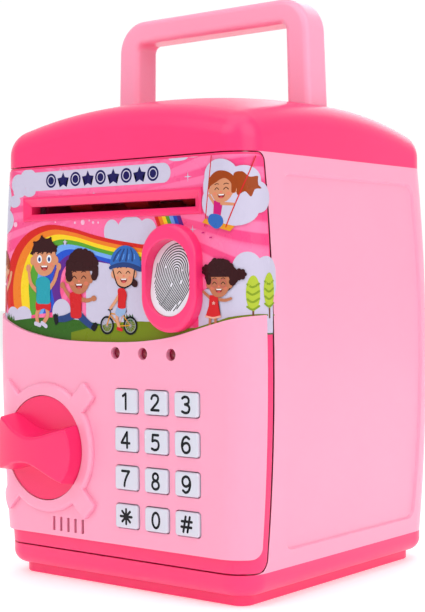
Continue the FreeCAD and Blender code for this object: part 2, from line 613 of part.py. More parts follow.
def door_back():
    x0, x1 = POCKET_X
    z0, z1 = POCKET_Z
    plate = box(-55.5, 54.0, DOOR_BACK_Y, DOOR_BACK_Y + 1.8, DOOR_LOW + 4, DOOR_TOP - 4)
    shell = box(x0, x1, DOOR_BACK_Y, POCKET_Y, z0, z1)
    shell = round_edges(shell, 3.0, lambda b: b.YMin > POCKET_Y - 0.1)
    hollow = box(x0 + 2, x1 - 2, DOOR_BACK_Y - 1, POCKET_Y - 2, z0 + 2, z1 - 2)
    strike_room = box(-60, -53.6, -60, POCKET_Y, KNOB_Z - 17, KNOB_Z + 9)
    back = plate.fuse(shell).cut(hollow).cut(strike_room)
    for x, z in DOOR_SCREWS:
        back = back.cut(rod(1.3, (x, DOOR_BACK_Y - 1, z), (x, POCKET_Y + 1, z)))
        back = back.cut(rod(2.6, (x, DOOR_BACK_Y + 1.8, z), (x, POCKET_Y + 1, z)))
    back = back.cut(box(-44, 44, POCKET_Y - 4, POCKET_Y + 1, 140.6, 146.2))
    cx0, cx1, _, _, cz0, cz1 = CELL_BOX
    back = back.cut(box(cx0 + 1, cx1 - 1, POCKET_Y - 4, POCKET_Y + 1, cz0 + 1, cz1 - 1))
    px0, px1, pz0, pz1 = COVER_PLATE
    back = back.cut(round_box(px0 - 0.3, px1 + 0.3, POCKET_Y - 1.4, POCKET_Y + 1, pz0 - 0.3, pz1 + 0.3, 2.3))
    x, z = COVER_SCREW
    back = back.cut(rod(1.4, (x, POCKET_Y - 4, z), (x, POCKET_Y, z)))
    back = fuse([back, bolt_guide()])
    return back.cut(bolt_room())


def bolt_room():
    return box(-60, -14, BOLT_Y[0] - 0.08, BOLT_Y[1] + 0.08, BOLT_Z[0] - 0.08, BOLT_Z[1] + RACK_TIP + 0.1)


def bolt_guide():
    """Two bridges on the pocket's floor that the latch bolt slides through."""
    y0 = BOLT_Y[0] - 1.5
    z0 = BOLT_Z[0] - 1.8
    z1 = BOLT_Z[1] + RACK_TIP + 1.6
    return fuse([box(x, x + 5, y0, POCKET_Y - 1, z0, z1) for x in (-46.5, -27.8)])


def door_screws():
    screws = []
    for x, z in DOOR_SCREWS:
        y = DOOR_BACK_Y + 1.8
        head = rod(2.3, (x, y, z), (x, y + 1.5, z))
        shank = rod(0.98, (x, y, z), (x, y - 7.5, z))
        slot = box(x - 1.4, x + 1.4, y + 0.9, y + 2, z - 0.3, z + 0.3)
        screws.append(head.fuse(shank).cut(slot).removeSplitter())
    return screws


def gear(teeth, width, bore, phase=0.0):
    """A spur gear on the Z axis with one tooth at the angle phase, in degrees."""
    pitch_r = GEAR_MODULE * teeth / 2
    flank = ((-0.32, -1.2), (-0.2, 0.0), (-0.09, 0.85), (0.09, 0.85), (0.2, 0.0), (0.32, -1.2))
    points = []
    for i in range(teeth):
        for turn, rise in flank:
            angle = math.radians(phase) + (i + turn) * 2 * math.pi / teeth
            radius = pitch_r + rise * GEAR_MODULE
            points.append((radius * math.cos(angle), radius * math.sin(angle), 0))
    return prism(points, (0, 0, width)).cut(rod(bore, (0, 0, -1), (0, 0, width + 1)))


def along_x(shape, x, y, z):
    shape.rotate(FreeCAD.Vector(0, 0, 0), FreeCAD.Vector(0, 1, 0), 90)
    shape.translate(FreeCAD.Vector(x, y, z))
    return shape


def along_y(shape, x, y, z):
    shape.rotate(FreeCAD.Vector(0, 0, 0), FreeCAD.Vector(1, 0, 0), -90)
    shape.translate(FreeCAD.Vector(x, y, z))
    return shape


def grip_half_height(x):
    return GRIP_WAIST + (GRIP_END - GRIP_WAIST) * math.sin(math.pi * x / (2 * DIAL_R)) ** 2


def grip_wire(y, grow):
    """The grip's waisted outline around the knob's centre, at depth y."""
    reach = DIAL_R + 2
    xs = [reach * i / 6 for i in range(-6, 7)]
    curves = []
    for sign in (1, -1):
        heights = [KNOB_Z + sign * (grip_half_height(x) + grow) for x in xs]
        curve = Part.BSplineCurve()
        curve.interpolate([FreeCAD.Vector(KNOB_X + x, y, z) for x, z in zip(xs, heights)])
        curves.append(curve)
    top, low = curves
    right = Part.LineSegment(top.EndPoint, low.EndPoint).toShape()
    left = Part.LineSegment(low.StartPoint, top.StartPoint).toShape()
    return Part.Wire([top.toShape(), right, low.toShape(), left])


def knob_grip():
    """A waisted bar across the dial whose crest arches from end to end."""
    crest = DIAL_FACE - GRIP_RISE
    grip = Part.makeLoft([grip_wire(DIAL_FACE, GRIP_FLARE), grip_wire(crest - 1, 0)], True)
    fall = GRIP_RISE - GRIP_END_RISE
    arch_r = (DIAL_R ** 2 + fall ** 2) / (2 * fall)
    arch = rod(arch_r, (KNOB_X, crest + arch_r, KNOB_Z - 20), (KNOB_X, crest + arch_r, KNOB_Z + 20))
    grip = grip.common(arch).common(rod(DIAL_R, (KNOB_X, crest - 2, KNOB_Z), (KNOB_X, DIAL_FACE, KNOB_Z)))
    grip = grip.makeFillet(0.9, [e for e in grip.Edges if e.BoundBox.YMax < DIAL_FACE - GRIP_END_RISE + 1])
    grip.rotate(FreeCAD.Vector(KNOB_X, 0, KNOB_Z), FreeCAD.Vector(0, 1, 0), GRIP_TILT)
    return grip


def knob():
    dial = rod(DIAL_R, (KNOB_X, DIAL_FACE, KNOB_Z), (KNOB_X, FRONT - 0.3, KNOB_Z))
    shaft = rod(SHAFT_R, (KNOB_X, FRONT - 1, KNOB_Z), (KNOB_X, -49.2, KNOB_Z))
    stub = rod(2.2, (KNOB_X, -50, KNOB_Z), (KNOB_X, BOLT_Y[1], KNOB_Z))
    body = fuse([dial, knob_grip(), shaft, stub])
    return body.cut(rod(1.0, (KNOB_X, -56, KNOB_Z), (KNOB_X, -40, KNOB_Z)))


def knob_pinion():
    return along_y(gear(PINION_TEETH, BOLT_Y[1] - BOLT_Y[0], 2.2), KNOB_X, BOLT_Y[0], KNOB_Z)


def knob_screw():
    head = rod(3.0, (KNOB_X, BOLT_Y[1], KNOB_Z), (KNOB_X, BOLT_Y[1] + 1.6, KNOB_Z))
    shank = rod(0.98, (KNOB_X, BOLT_Y[1], KNOB_Z), (KNOB_X, BOLT_Y[1] - 9, KNOB_Z))
    slot = box(KNOB_X - 1.8, KNOB_X + 1.8, BOLT_Y[1] + 0.9, BOLT_Y[1] + 2, KNOB_Z - 0.35, KNOB_Z + 0.35)
    return head.fuse(shank).cut(slot).removeSplitter()


def latch_bolt():
    y0, y1 = BOLT_Y
    z0, z1 = BOLT_Z
    bar = box(*BOLT_X, y0, y1, z0, z1)
    bar = round_edges(bar, 1.4, lambda b: b.XMax < BOLT_X[0] + 0.1 and b.ZLength > 2)
    pitch = math.pi * GEAR_MODULE
    teeth = []
    for n in range(-1, 5):
        x = KNOB_X + n * pitch
        outline = [(x - 0.9, y0, z1 - 0.1), (x - 0.5, y0, z1 + 1.2), (x - 0.22, y0, z1 + RACK_TIP - 0.1),
                   (x + 0.22, y0, z1 + RACK_TIP - 0.1), (x + 0.5, y0, z1 + 1.2), (x + 0.9, y0, z1 - 0.1)]
        teeth.append(prism(outline, (0, y1 - y0, 0)))
    bolt = fuse([bar] + teeth)
    deep = z0 + PLUNGER_TRAVEL + 0.3
    for x in (PLUNGER_X, PLUNGER_X + BOLT_TRAVEL):
        bolt = bolt.cut(rod(PLUNGER_R + 0.25, (x, PLUNGER_Y, z0 - 1), (x, PLUNGER_Y, deep)))
    return bolt


def solenoid_frame():
    x0, x1 = PLUNGER_X - 6, PLUNGER_X + 6
    y0, y1 = PLUNGER_Y - 4.6, PLUNGER_Y + 4.6
    z0, z1 = SOLENOID_Z
    frame = box(x0, x1, y0, y1, z0, z1).cut(box(x0 + 1.2, x1 - 1.2, y0 - 1, y1 + 1, z0 + 1.2, z1 - 1.2))
    foot = box(x0, x1, y1 - 1, POCKET_Y - 2, z0, z0 + 1.2)
    bore = rod(PLUNGER_R + RUN, (PLUNGER_X, PLUNGER_Y, z1 - 3), (PLUNGER_X, PLUNGER_Y, z1 + 1))
    return fuse([frame, foot]).cut(bore)


def solenoid_coil():
    z0, z1 = SOLENOID_Z
    coil = rod(4.4, (PLUNGER_X, PLUNGER_Y, z0 + 1.2), (PLUNGER_X, PLUNGER_Y, z1 - 1.2))
    return coil.cut(rod(PLUNGER_R + RUN, (PLUNGER_X, PLUNGER_Y, z0), (PLUNGER_X, PLUNGER_Y, z1)))


def solenoid_plunger():
    top = BOLT_Z[0] - 0.3
    pin = rod(PLUNGER_R, (PLUNGER_X, PLUNGER_Y, SOLENOID_Z[0] + 6), (PLUNGER_X, PLUNGER_Y, top))
    return round_edges(pin, 0.5, lambda b: b.ZMin > top - 0.1)


def plunger_spring():
    z0 = SOLENOID_Z[0] + 1.5
    wire_r = 0.2
    helix = Part.makeHelix(0.75, SOLENOID_Z[0] + 5.7 - z0, 1.2)
    ring = Part.Wire(Part.makeCircle(wire_r, FreeCAD.Vector(1.2, 0, 0), FreeCAD.Vector(0, 1, 0)))
    coil = Part.Wire(helix.Edges).makePipeShell([ring], True, True)
    coil.translate(FreeCAD.Vector(PLUNGER_X, PLUNGER_Y, z0))
    return coil


def battery_box():
    x0, x1, y0, y1, z0, z1 = CELL_BOX
    tray = box(x0, x1, y0, y1, z0, z1).cut(box(x0 + 1.1, x1 - 1.1, y0 + 1.2, y1 + 1, z0 + 1.1, z1 - 1.1))
    ribs = [box(x - 0.4, x + 0.4, y0 + 1, y0 + 4, z0 + 1, z1 - 1) for x in (9.5, 24.5)]
    return fuse([tray] + ribs)


def cells():
    solids = []
    for i, x in enumerate(CELL_X):
        way = 1 if i % 2 == 0 else -1
        low = CELL_Z + (0 if way == 1 else 1.2)
        can = rod(CELL_R, (x, CELL_Y, low), (x, CELL_Y, low + CELL_L - 1.2))
        can = round_edges(can, 0.6, lambda b: True)
        nub_z = low + CELL_L - 1.3 if way == 1 else CELL_Z
        nub = rod(2.6, (x, CELL_Y, nub_z), (x, CELL_Y, nub_z + 1.3))
        solids.append(can.fuse(nub).removeSplitter())
    return solids


def cell_contacts():
    solids = []
    for x in CELL_X:
        for z in (CELL_Z - 1.4, CELL_Z + CELL_L + 1.0):
            solids.append(box(x - 5, x + 5, CELL_Y - 5, CELL_Y + 5, z, z + 0.5))
    for i, x in enumerate(CELL_X):
        z = CELL_Z - 0.9 if i % 2 == 0 else CELL_Z + CELL_L + 1.0
        spring = cone(3.4, 2.4, (x, CELL_Y, z), (x, CELL_Y, z + 0.8 if i % 2 == 0 else z - 0.9))
        solids.append(spring)
    return solids


def battery_cover():
    x0, x1, z0, z1 = COVER_PLATE
    plate = round_box(x0, x1, POCKET_Y - 1.3, POCKET_Y, z0, z1, 2.0)
    sx, sz = COVER_SCREW
    for i in range(5):
        z = z0 + 5 + 2.2 * i
        plate = plate.cut(box(sx - 8, sx + 8, POCKET_Y - 0.5, POCKET_Y + 1, z, z + 1.0))
    plate = plate.cut(rod(1.35, (sx, POCKET_Y - 3, sz), (sx, POCKET_Y + 1, sz)))
    return plate.cut(rod(2.5, (sx, POCKET_Y - 0.7, sz), (sx, POCKET_Y + 1, sz)))


def battery_cover_screw():
    x, z = COVER_SCREW
    head = rod(2.4, (x, POCKET_Y - 0.7, z), (x, POCKET_Y + 0.7, z))
    shank = rod(1.25, (x, POCKET_Y - 5.5, z), (x, POCKET_Y - 0.7, z))
    slot = box(x - 1.5, x + 1.5, POCKET_Y, POCKET_Y + 1, z - 0.3, z + 0.3)
    return head.fuse(shank).cut(slot).removeSplitter()


def feed_motor():
    x0, x1 = FEED_MOTOR_X
    can = rod(MOTOR_R, (x0, MOTOR_Y, MOTOR_Z), (x1, MOTOR_Y, MOTOR_Z))
    can = round_edges(can, 1.5, lambda b: b.XMax < x0 + 0.1)
    cap = rod(4.0, (x0 - 1.5, MOTOR_Y, MOTOR_Z), (x0 + 1, MOTOR_Y, MOTOR_Z))
    nose = rod(3.0, (x1 - 1, MOTOR_Y, MOTOR_Z), (x1 + 2.0, MOTOR_Y, MOTOR_Z))
    return fuse([can, cap, nose]).cut(rod(1.0 + RUN, (x1 - 8, MOTOR_Y, MOTOR_Z), (x1 + 3, MOTOR_Y, MOTOR_Z)))


def motor_pinion():
    toward = math.degrees(math.atan2(ROLLER_Y - MOTOR_Y, -(LOW_ROLLER_Z - MOTOR_Z)))
    wheel = along_x(gear(MOTOR_TEETH, GEAR_X[1] - GEAR_X[0], 0.9, toward), GEAR_X[0], MOTOR_Y, MOTOR_Z)
    shaft = rod(1.0, (FEED_MOTOR_X[1] - 6, MOTOR_Y, MOTOR_Z), (GEAR_X[1], MOTOR_Y, MOTOR_Z))
    return fuse([wheel, shaft])


def roller_gear():
    toward = math.degrees(math.atan2(MOTOR_Y - ROLLER_Y, -(MOTOR_Z - LOW_ROLLER_Z)))
    wheel = gear(ROLLER_TEETH, GEAR_X[1] - GEAR_X[0], AXLE_R, toward + 180 / ROLLER_TEETH)
    return along_x(wheel, GEAR_X[0], ROLLER_Y, LOW_ROLLER_Z)


def roller_shaft(z, x1):
    return rod(AXLE_R, (-47.6, ROLLER_Y, z), (x1, ROLLER_Y, z))


def roller_tyres(z):
    tyres = []
    for x in TYRE_X:
        tyre = rod(ROLLER_R, (x - 6, ROLLER_Y, z), (x + 6, ROLLER_Y, z))
        tyre = round_edges(tyre, 0.8, lambda b: b.XLength < 0.1)
        tyres.append(tyre.cut(rod(AXLE_R, (x - 7, ROLLER_Y, z), (x + 7, ROLLER_Y, z))))
    return tyres


def roller_brackets():
    y0, y1 = DOOR_BACK_Y + 0.4, POCKET_Y - 2
    left = box(-47.0, -45.4, y0, y1, 131, 153)
    right = box(41.4, 43.0, y0, y1, MOTOR_Z - 10, 153)
    plates = []
    for plate in (left, right):
        for z in (LOW_ROLLER_Z, TOP_ROLLER_Z):
            plate = plate.cut(rod(AXLE_R + RUN, (-60, ROLLER_Y, z), (60, ROLLER_Y, z)))
        plates.append(plate)
    plates[1] = plates[1].cut(rod(3.0, (40, MOTOR_Y, MOTOR_Z), (50, MOTOR_Y, MOTOR_Z)))
    return plates


NODES = {
    "base_tray": base_tray, "body_shell": body_shell, "top_cover": top_cover, "handle": handle,
    "base_screws": base_screws, "cover_screws": cover_screws, "handle_screws": handle_screws,
    "hinge_pins": hinge_pins, "latch_keeper": latch_keeper, "door_panel": door_panel,
    "front_panel": front_panel, "graphic_sheet": graphic_sheet, "note_slot_frame": note_slot_frame,
    "sensor_bezel": sensor_bezel, "fingerprint_window": fingerprint_window,
    "sensor_board": sensor_board, "lamp_lenses": lamp_lenses,
    "key_mat": key_mat, "keypad_board": keypad_board, "main_board": main_board,
    "speaker_frame": speaker_frame, "speaker_cone": speaker_cone, "door_back": door_back,
    "door_screws": door_screws, "knob": knob, "knob_pinion": knob_pinion, "knob_screw": knob_screw,
    "latch_bolt": latch_bolt, "solenoid_frame": solenoid_frame, "solenoid_coil": solenoid_coil,
    "solenoid_plunger": solenoid_plunger, "plunger_spring": plunger_spring, "battery_box": battery_box,
    "cells": cells, "cell_contacts": cell_contacts, "battery_cover": battery_cover,
    "battery_cover_screw": battery_cover_screw, "feed_motor": feed_motor, "motor_pinion": motor_pinion,
    "roller_gear": roller_gear, "roller_brackets": roller_brackets,
    "drive_shaft": lambda: roller_shaft(LOW_ROLLER_Z, GEAR_X[1]),
    "drive_tyres": lambda: roller_tyres(LOW_ROLLER_Z),
    "idler_shaft": lambda: roller_shaft(TOP_ROLLER_Z, 43.4),
    "idler_tyres": lambda: roller_tyres(TOP_ROLLER_Z),
}
for number, name in enumerate(KEY_NAMES):
    NODES["key_" + name] = lambda number=number: key(number)

os.makedirs("parts", exist_ok=True)
for name, build in NODES.items():
    made = build()
    shape = Part.makeCompound(made) if isinstance(made, list) else made
    shape.exportStep("parts/" + name + ".step")
    print(name, "solids", len(shape.Solids), "volume", round(shape.Volume), "valid", shape.isValid())
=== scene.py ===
import json
import math
import random

import bmesh
import bpy
from mathutils import Matrix, Vector


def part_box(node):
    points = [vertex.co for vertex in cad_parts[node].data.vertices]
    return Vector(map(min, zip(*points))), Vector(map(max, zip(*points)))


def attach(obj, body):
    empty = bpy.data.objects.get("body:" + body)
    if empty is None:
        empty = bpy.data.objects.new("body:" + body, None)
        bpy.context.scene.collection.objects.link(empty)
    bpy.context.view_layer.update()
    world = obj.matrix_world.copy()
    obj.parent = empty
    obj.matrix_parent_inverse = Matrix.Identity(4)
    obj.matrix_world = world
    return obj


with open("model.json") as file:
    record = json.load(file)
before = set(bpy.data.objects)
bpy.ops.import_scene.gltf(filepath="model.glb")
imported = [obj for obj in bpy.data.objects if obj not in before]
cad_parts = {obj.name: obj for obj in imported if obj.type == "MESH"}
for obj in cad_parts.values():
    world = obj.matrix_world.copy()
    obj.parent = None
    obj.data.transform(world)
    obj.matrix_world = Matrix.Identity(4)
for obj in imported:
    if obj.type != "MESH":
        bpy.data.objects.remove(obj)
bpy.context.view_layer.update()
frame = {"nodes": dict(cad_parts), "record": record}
NODES = frame["nodes"]
SLOT_OF = {part["node"]: part["material_slot"] for part in frame["record"]["subparts"]}
MM = 0.001
random.seed(7)


# ---------------------------------------------------------------- shader helpers

def feed(tree, node, key, value):
    """Gives a node's input a value, or links it from an output socket."""
    if isinstance(value, bpy.types.NodeSocket):
        tree.links.new(value, node.inputs[key])
    else:
        node.inputs[key].default_value = value


def put(tree, kind, inputs=None, **settings):
    node = tree.nodes.new(kind)
    for key, value in settings.items():
        setattr(node, key, value)
    for key, value in (inputs or {}).items():
        feed(tree, node, key, value)
    return node


def ramp(tree, factor, stops):
    node = put(tree, "ShaderNodeValToRGB", {0: factor})
    elements = node.color_ramp.elements
    while len(elements) < len(stops):
        elements.new(0.5)
    for element, (place, colour) in zip(elements, stops):
        element.position = place
        element.color = (*colour, 1)
    return node.outputs["Color"]


def sum_of(tree, kind, *values):
    return put(tree, "ShaderNodeMath", dict(enumerate(values)), operation=kind).outputs[0]


def blend_colours(tree, factor, a, b):
    node = put(tree, "ShaderNodeMix", {0: factor}, data_type="RGBA")
    for place, colour in ((6, a), (7, b)):
        feed(tree, node, place, (*colour, 1) if isinstance(colour, tuple) else colour)
    return node.outputs[2]


def new_group(name, inputs, outputs):
    group = bpy.data.node_groups.new(name, "ShaderNodeTree")
    for label, value in inputs:
        socket = group.interface.new_socket(label, in_out="INPUT", socket_type="NodeSocketFloat")
        socket.default_value = value
    for label, kind in outputs:
        group.interface.new_socket(label, in_out="OUTPUT", socket_type=kind)
    return group, group.nodes.new("NodeGroupInput"), group.nodes.new("NodeGroupOutput")


def make_moulding_grain():
    """Fine orange peel, slow flow shading and faint handling smears of injection-moulded plastic."""
    inputs = [("Peel Size", 900.0), ("Peel Depth", 0.05), ("Roughness", 0.3), ("Smear", 0.08)]
    outputs = [("Shade", "NodeSocketFloat"), ("Roughness", "NodeSocketFloat"), ("Normal", "NodeSocketVector")]
    group, gin, gout = new_group("moulding grain", inputs, outputs)
    where = put(group, "ShaderNodeTexCoord").outputs["Object"]
    peel = put(group, "ShaderNodeTexNoise", {"Vector": where, "Scale": gin.outputs["Peel Size"],
                                             "Detail": 2.0})
    flow = put(group, "ShaderNodeTexNoise", {"Vector": where, "Scale": 14.0, "Detail": 3.0,
                                             "Distortion": 0.6})
    smear = put(group, "ShaderNodeTexNoise", {"Vector": where, "Scale": 55.0, "Detail": 6.0,
                                              "Roughness": 0.7})
    bump = put(group, "ShaderNodeBump", {"Height": peel.outputs["Fac"], "Strength": gin.outputs["Peel Depth"],
                                         "Distance": 0.0002})
    wipes = sum_of(group, "SUBTRACT", smear.outputs["Fac"], 0.5)
    wipes = sum_of(group, "MULTIPLY", wipes, gin.outputs["Smear"])
    group.links.new(flow.outputs["Fac"], gout.inputs["Shade"])
    group.links.new(sum_of(group, "ADD", gin.outputs["Roughness"], wipes), gout.inputs["Roughness"])
    group.links.new(bump.outputs["Normal"], gout.inputs["Normal"])
    return group


def make_print_grain():
    """The fine dot screen and slight unevenness of a printed film."""
    group, gin, gout = new_group("print grain", [("Dot Size", 5200.0), ("Strength", 0.1)],
                                 [("Shade", "NodeSocketFloat"), ("Roughness", "NodeSocketFloat")])
    where = put(group, "ShaderNodeTexCoord").outputs["Object"]
    dots = put(group, "ShaderNodeTexVoronoi", {"Vector": where, "Scale": gin.outputs["Dot Size"]})
    cloud = put(group, "ShaderNodeTexNoise", {"Vector": where, "Scale": 120.0, "Detail": 4.0})
    mixed = sum_of(group, "MULTIPLY", dots.outputs["Distance"], gin.outputs["Strength"])
    uneven = sum_of(group, "MULTIPLY", cloud.outputs["Fac"], gin.outputs["Strength"])
    group.links.new(sum_of(group, "ADD", mixed, uneven), gout.inputs["Shade"])
    group.links.new(sum_of(group, "MULTIPLY_ADD", cloud.outputs["Fac"], 0.12, 0.22), gout.inputs["Roughness"])
    return group


def make_brushed_lines():
    """Fine drawn lines on metal, along one axis."""
    group, gin, gout = new_group("drawn lines", [("Fineness", 2600.0), ("Roughness", 0.3)],
                                 [("Shade", "NodeSocketFloat"), ("Roughness", "NodeSocketFloat"),
                                  ("Normal", "NodeSocketVector")])
    where = put(group, "ShaderNodeTexCoord").outputs["Object"]
    long = put(group, "ShaderNodeMapping", {"Vector": where, "Scale": (0.05, 1.0, 1.0)})
    lines = put(group, "ShaderNodeTexNoise", {"Vector": long.outputs[0], "Scale": gin.outputs["Fineness"],
                                              "Detail": 3.0})
    bump = put(group, "ShaderNodeBump", {"Height": lines.outputs["Fac"], "Strength": 0.15,
                                         "Distance": 0.0001})
    uneven = sum_of(group, "MULTIPLY_ADD", lines.outputs["Fac"], 0.2, gin.outputs["Roughness"])
    group.links.new(lines.outputs["Fac"], gout.inputs["Shade"])
    group.links.new(uneven, gout.inputs["Roughness"])
    group.links.new(bump.outputs["Normal"], gout.inputs["Normal"])
    return group


MOULDING_GRAIN = make_moulding_grain()
PRINT_GRAIN = make_print_grain()
DRAWN_LINES = make_brushed_lines()


def new_material(name):
    material = bpy.data.materials.new(name)
    material.use_nodes = True
    tree = material.node_tree
    return material, tree, tree.nodes["Principled BSDF"]


def set_inputs(node, **values):
    for label, value in values.items():
        node.inputs[label.replace("_", " ")].default_value = value


def use_group(tree, group, **values):
    node = put(tree, "ShaderNodeGroup", node_tree=group)
    set_inputs(node, **values)
    return node


def dress(tree, bsdf, grain, colour, deep):
    """Blends colour with deep by the grain's shade, and takes the grain's roughness and normal."""
    feed(tree, bsdf, "Base Color", blend_colours(tree, grain.outputs["Shade"], colour, deep))
    for label in ("Roughness", "Normal"):
        if label in grain.outputs:
            feed(tree, bsdf, label, grain.outputs[label])


def moulded(name, colour, deep, rough=0.3, peel=0.05, coat=0.25, glow=0.0):
    """Moulded plastic: colour with a little of deep flowing through it."""
    material, tree, bsdf = new_material(name)
    dress(tree, bsdf, use_group(tree, MOULDING_GRAIN, Peel_Depth=peel, Roughness=rough), colour, deep)
    set_inputs(bsdf, Coat_Weight=coat, Coat_Roughness=0.2, IOR=1.5, Subsurface_Weight=glow,
               Subsurface_Radius=(0.004, 0.0015, 0.002), Subsurface_Scale=0.6)
    return material


def metal(name, colour, shade, rough):
    material, tree, bsdf = new_material(name)
    dress(tree, bsdf, use_group(tree, DRAWN_LINES, Roughness=rough), colour, shade)
    set_inputs(bsdf, Metallic=1.0)
    return material


def ink(name, colour, strength=0.1):
    """Printed ink under a clear film."""
    material, tree, bsdf = new_material("ink " + name)
    dark = tuple(c * 0.8 for c in colour)
    dress(tree, bsdf, use_group(tree, PRINT_GRAIN, Strength=strength), colour, dark)
    set_inputs(bsdf, Specular_IOR_Level=0.15, Coat_Weight=0.06, Coat_Roughness=0.1)
    return material


def split_place(tree, centre):
    """Object coordinates measured from centre, as separate x, y and z sockets."""
    where = put(tree, "ShaderNodeTexCoord").outputs["Object"]
    moved = put(tree, "ShaderNodeMapping", {"Vector": where, "Location": tuple(-c for c in centre)})
    parts = put(tree, "ShaderNodeSeparateXYZ", {"Vector": moved.outputs[0]})
    return parts.outputs["X"], parts.outputs["Y"], parts.outputs["Z"]


RAY_CENTRE = (-0.005, 0.0, 0.146)
WIDE_RAYS = 46.0             # how often the rays repeat round the centre
NARROW_RAYS = 83.0
RAY_EDGE = 0.35              # how softly one ray turns into the next
PINK_SKY = (0.84, 0.055, 0.22)
PINK_RAY = (0.9, 0.19, 0.4)
PINK_GLOW = (0.9, 0.14, 0.34)
PINK_DEEP = (0.8, 0.04, 0.18)


def sunburst():
    """The printed sheet's ground: pink rays of uneven width spreading from one point."""
    material, tree, bsdf = new_material("sunburst print")
    x, _, z = split_place(tree, RAY_CENTRE)
    angle = sum_of(tree, "ARCTAN2", z, x)
    wide = sum_of(tree, "SINE", sum_of(tree, "MULTIPLY", angle, WIDE_RAYS))
    narrow = sum_of(tree, "SINE", sum_of(tree, "MULTIPLY_ADD", angle, NARROW_RAYS, 1.1))
    rays = sum_of(tree, "MULTIPLY_ADD", narrow, 0.4, wide)
    rays = put(tree, "ShaderNodeMapRange", {"Value": rays, "From Min": -RAY_EDGE, "From Max": RAY_EDGE})
    far = sum_of(tree, "SQRT", sum_of(tree, "MULTIPLY_ADD", x, x, sum_of(tree, "MULTIPLY", z, z)))
    fade = put(tree, "ShaderNodeMapRange", {"Value": far, "From Min": 0.01, "From Max": 0.06})
    rays = blend_colours(tree, rays.outputs[0], PINK_RAY, PINK_SKY)
    near = blend_colours(tree, fade.outputs[0], PINK_GLOW, rays)
    dress(tree, bsdf, use_group(tree, PRINT_GRAIN, Strength=0.12), near, PINK_DEEP)
    set_inputs(bsdf, Specular_IOR_Level=0.3, Coat_Weight=0.12, Coat_Roughness=0.1)
    return material


def circuit_board():
    """Green lacquer with copper tracks showing through it."""
    material, tree, bsdf = new_material("circuit board")
    where = put(tree, "ShaderNodeTexCoord").outputs["Object"]
    turned = put(tree, "ShaderNodeMapping", {"Vector": where, "Rotation": (math.radians(90), 0, 0)})
    tracks = put(tree, "ShaderNodeTexBrick", {"Vector": turned.outputs[0], "Scale": 260.0,
                                              "Mortar Size": 0.03,
                                              "Color1": (0.01, 0.11, 0.03, 1),
                                              "Color2": (0.015, 0.15, 0.045, 1),
                                              "Mortar": (0.05, 0.3, 0.09, 1)})
    bump = put(tree, "ShaderNodeBump", {"Height": tracks.outputs["Fac"], "Strength": 0.3, "Distance": 0.0001})
    feed(tree, bsdf, "Base Color", tracks.outputs["Color"])
    feed(tree, bsdf, "Normal", bump.outputs["Normal"])
    set_inputs(bsdf, Roughness=0.35)
    return material


def red_lens():
    """Dark red clear plastic over a lamp."""
    material, tree, bsdf = new_material("lamp lens")
    grain = use_group(tree, MOULDING_GRAIN, Peel_Depth=0.1, Roughness=0.08, Smear=0.05)
    dress(tree, bsdf, grain, (0.16, 0.0, 0.012), (0.38, 0.004, 0.03))
    set_inputs(bsdf, Transmission_Weight=0.25, Coat_Weight=0.6)
    return material


def cell_sleeve():
    """The printed sleeve of a cell: a dark body and a gold end."""
    material, tree, bsdf = new_material("cell sleeve")
    low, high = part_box("cells")
    _, _, z = split_place(tree, (0, 0, low.z))
    share = sum_of(tree, "DIVIDE", z, high.z - low.z)
    bands = ramp(tree, share, [(0.0, (0.02, 0.03, 0.09)), (0.62, (0.02, 0.04, 0.13)),
                               (0.64, (0.75, 0.42, 0.12)), (0.97, (0.7, 0.38, 0.1))])
    dress(tree, bsdf, use_group(tree, PRINT_GRAIN, Strength=0.15), bands, (0.01, 0.01, 0.02))
    set_inputs(bsdf, Metallic=0.6)
    return material


def coil_winding():
    """Close turns of enamelled wire round the coil's upright axis, with painted shade in the grooves between
    the turns.
    """
    material, tree, bsdf = new_material("coil winding")
    where = put(tree, "ShaderNodeTexCoord").outputs["Object"]
    turns = put(tree, "ShaderNodeTexWave", {"Vector": where, "Scale": 620.0}, bands_direction="Z")
    bump = put(tree, "ShaderNodeBump", {"Height": turns.outputs["Fac"], "Strength": 0.8, "Distance": 0.0003})
    # painted shade: the copper turns dark brown in the grooves between the turns, where the bump is low
    copper = blend_colours(tree, turns.outputs["Fac"], (0.18, 0.05, 0.02), (0.72, 0.26, 0.1))
    feed(tree, bsdf, "Base Color", copper)
    feed(tree, bsdf, "Normal", bump.outputs["Normal"])
    set_inputs(bsdf, Metallic=0.9, Roughness=0.32)
    return material


HOT_PINK = (0.94, 0.028, 0.18)
HOT_DEEP = (0.9, 0.02, 0.15)
LIGHT_PINK = (0.93, 0.36, 0.52)
LIGHT_DEEP = (0.92, 0.33, 0.49)

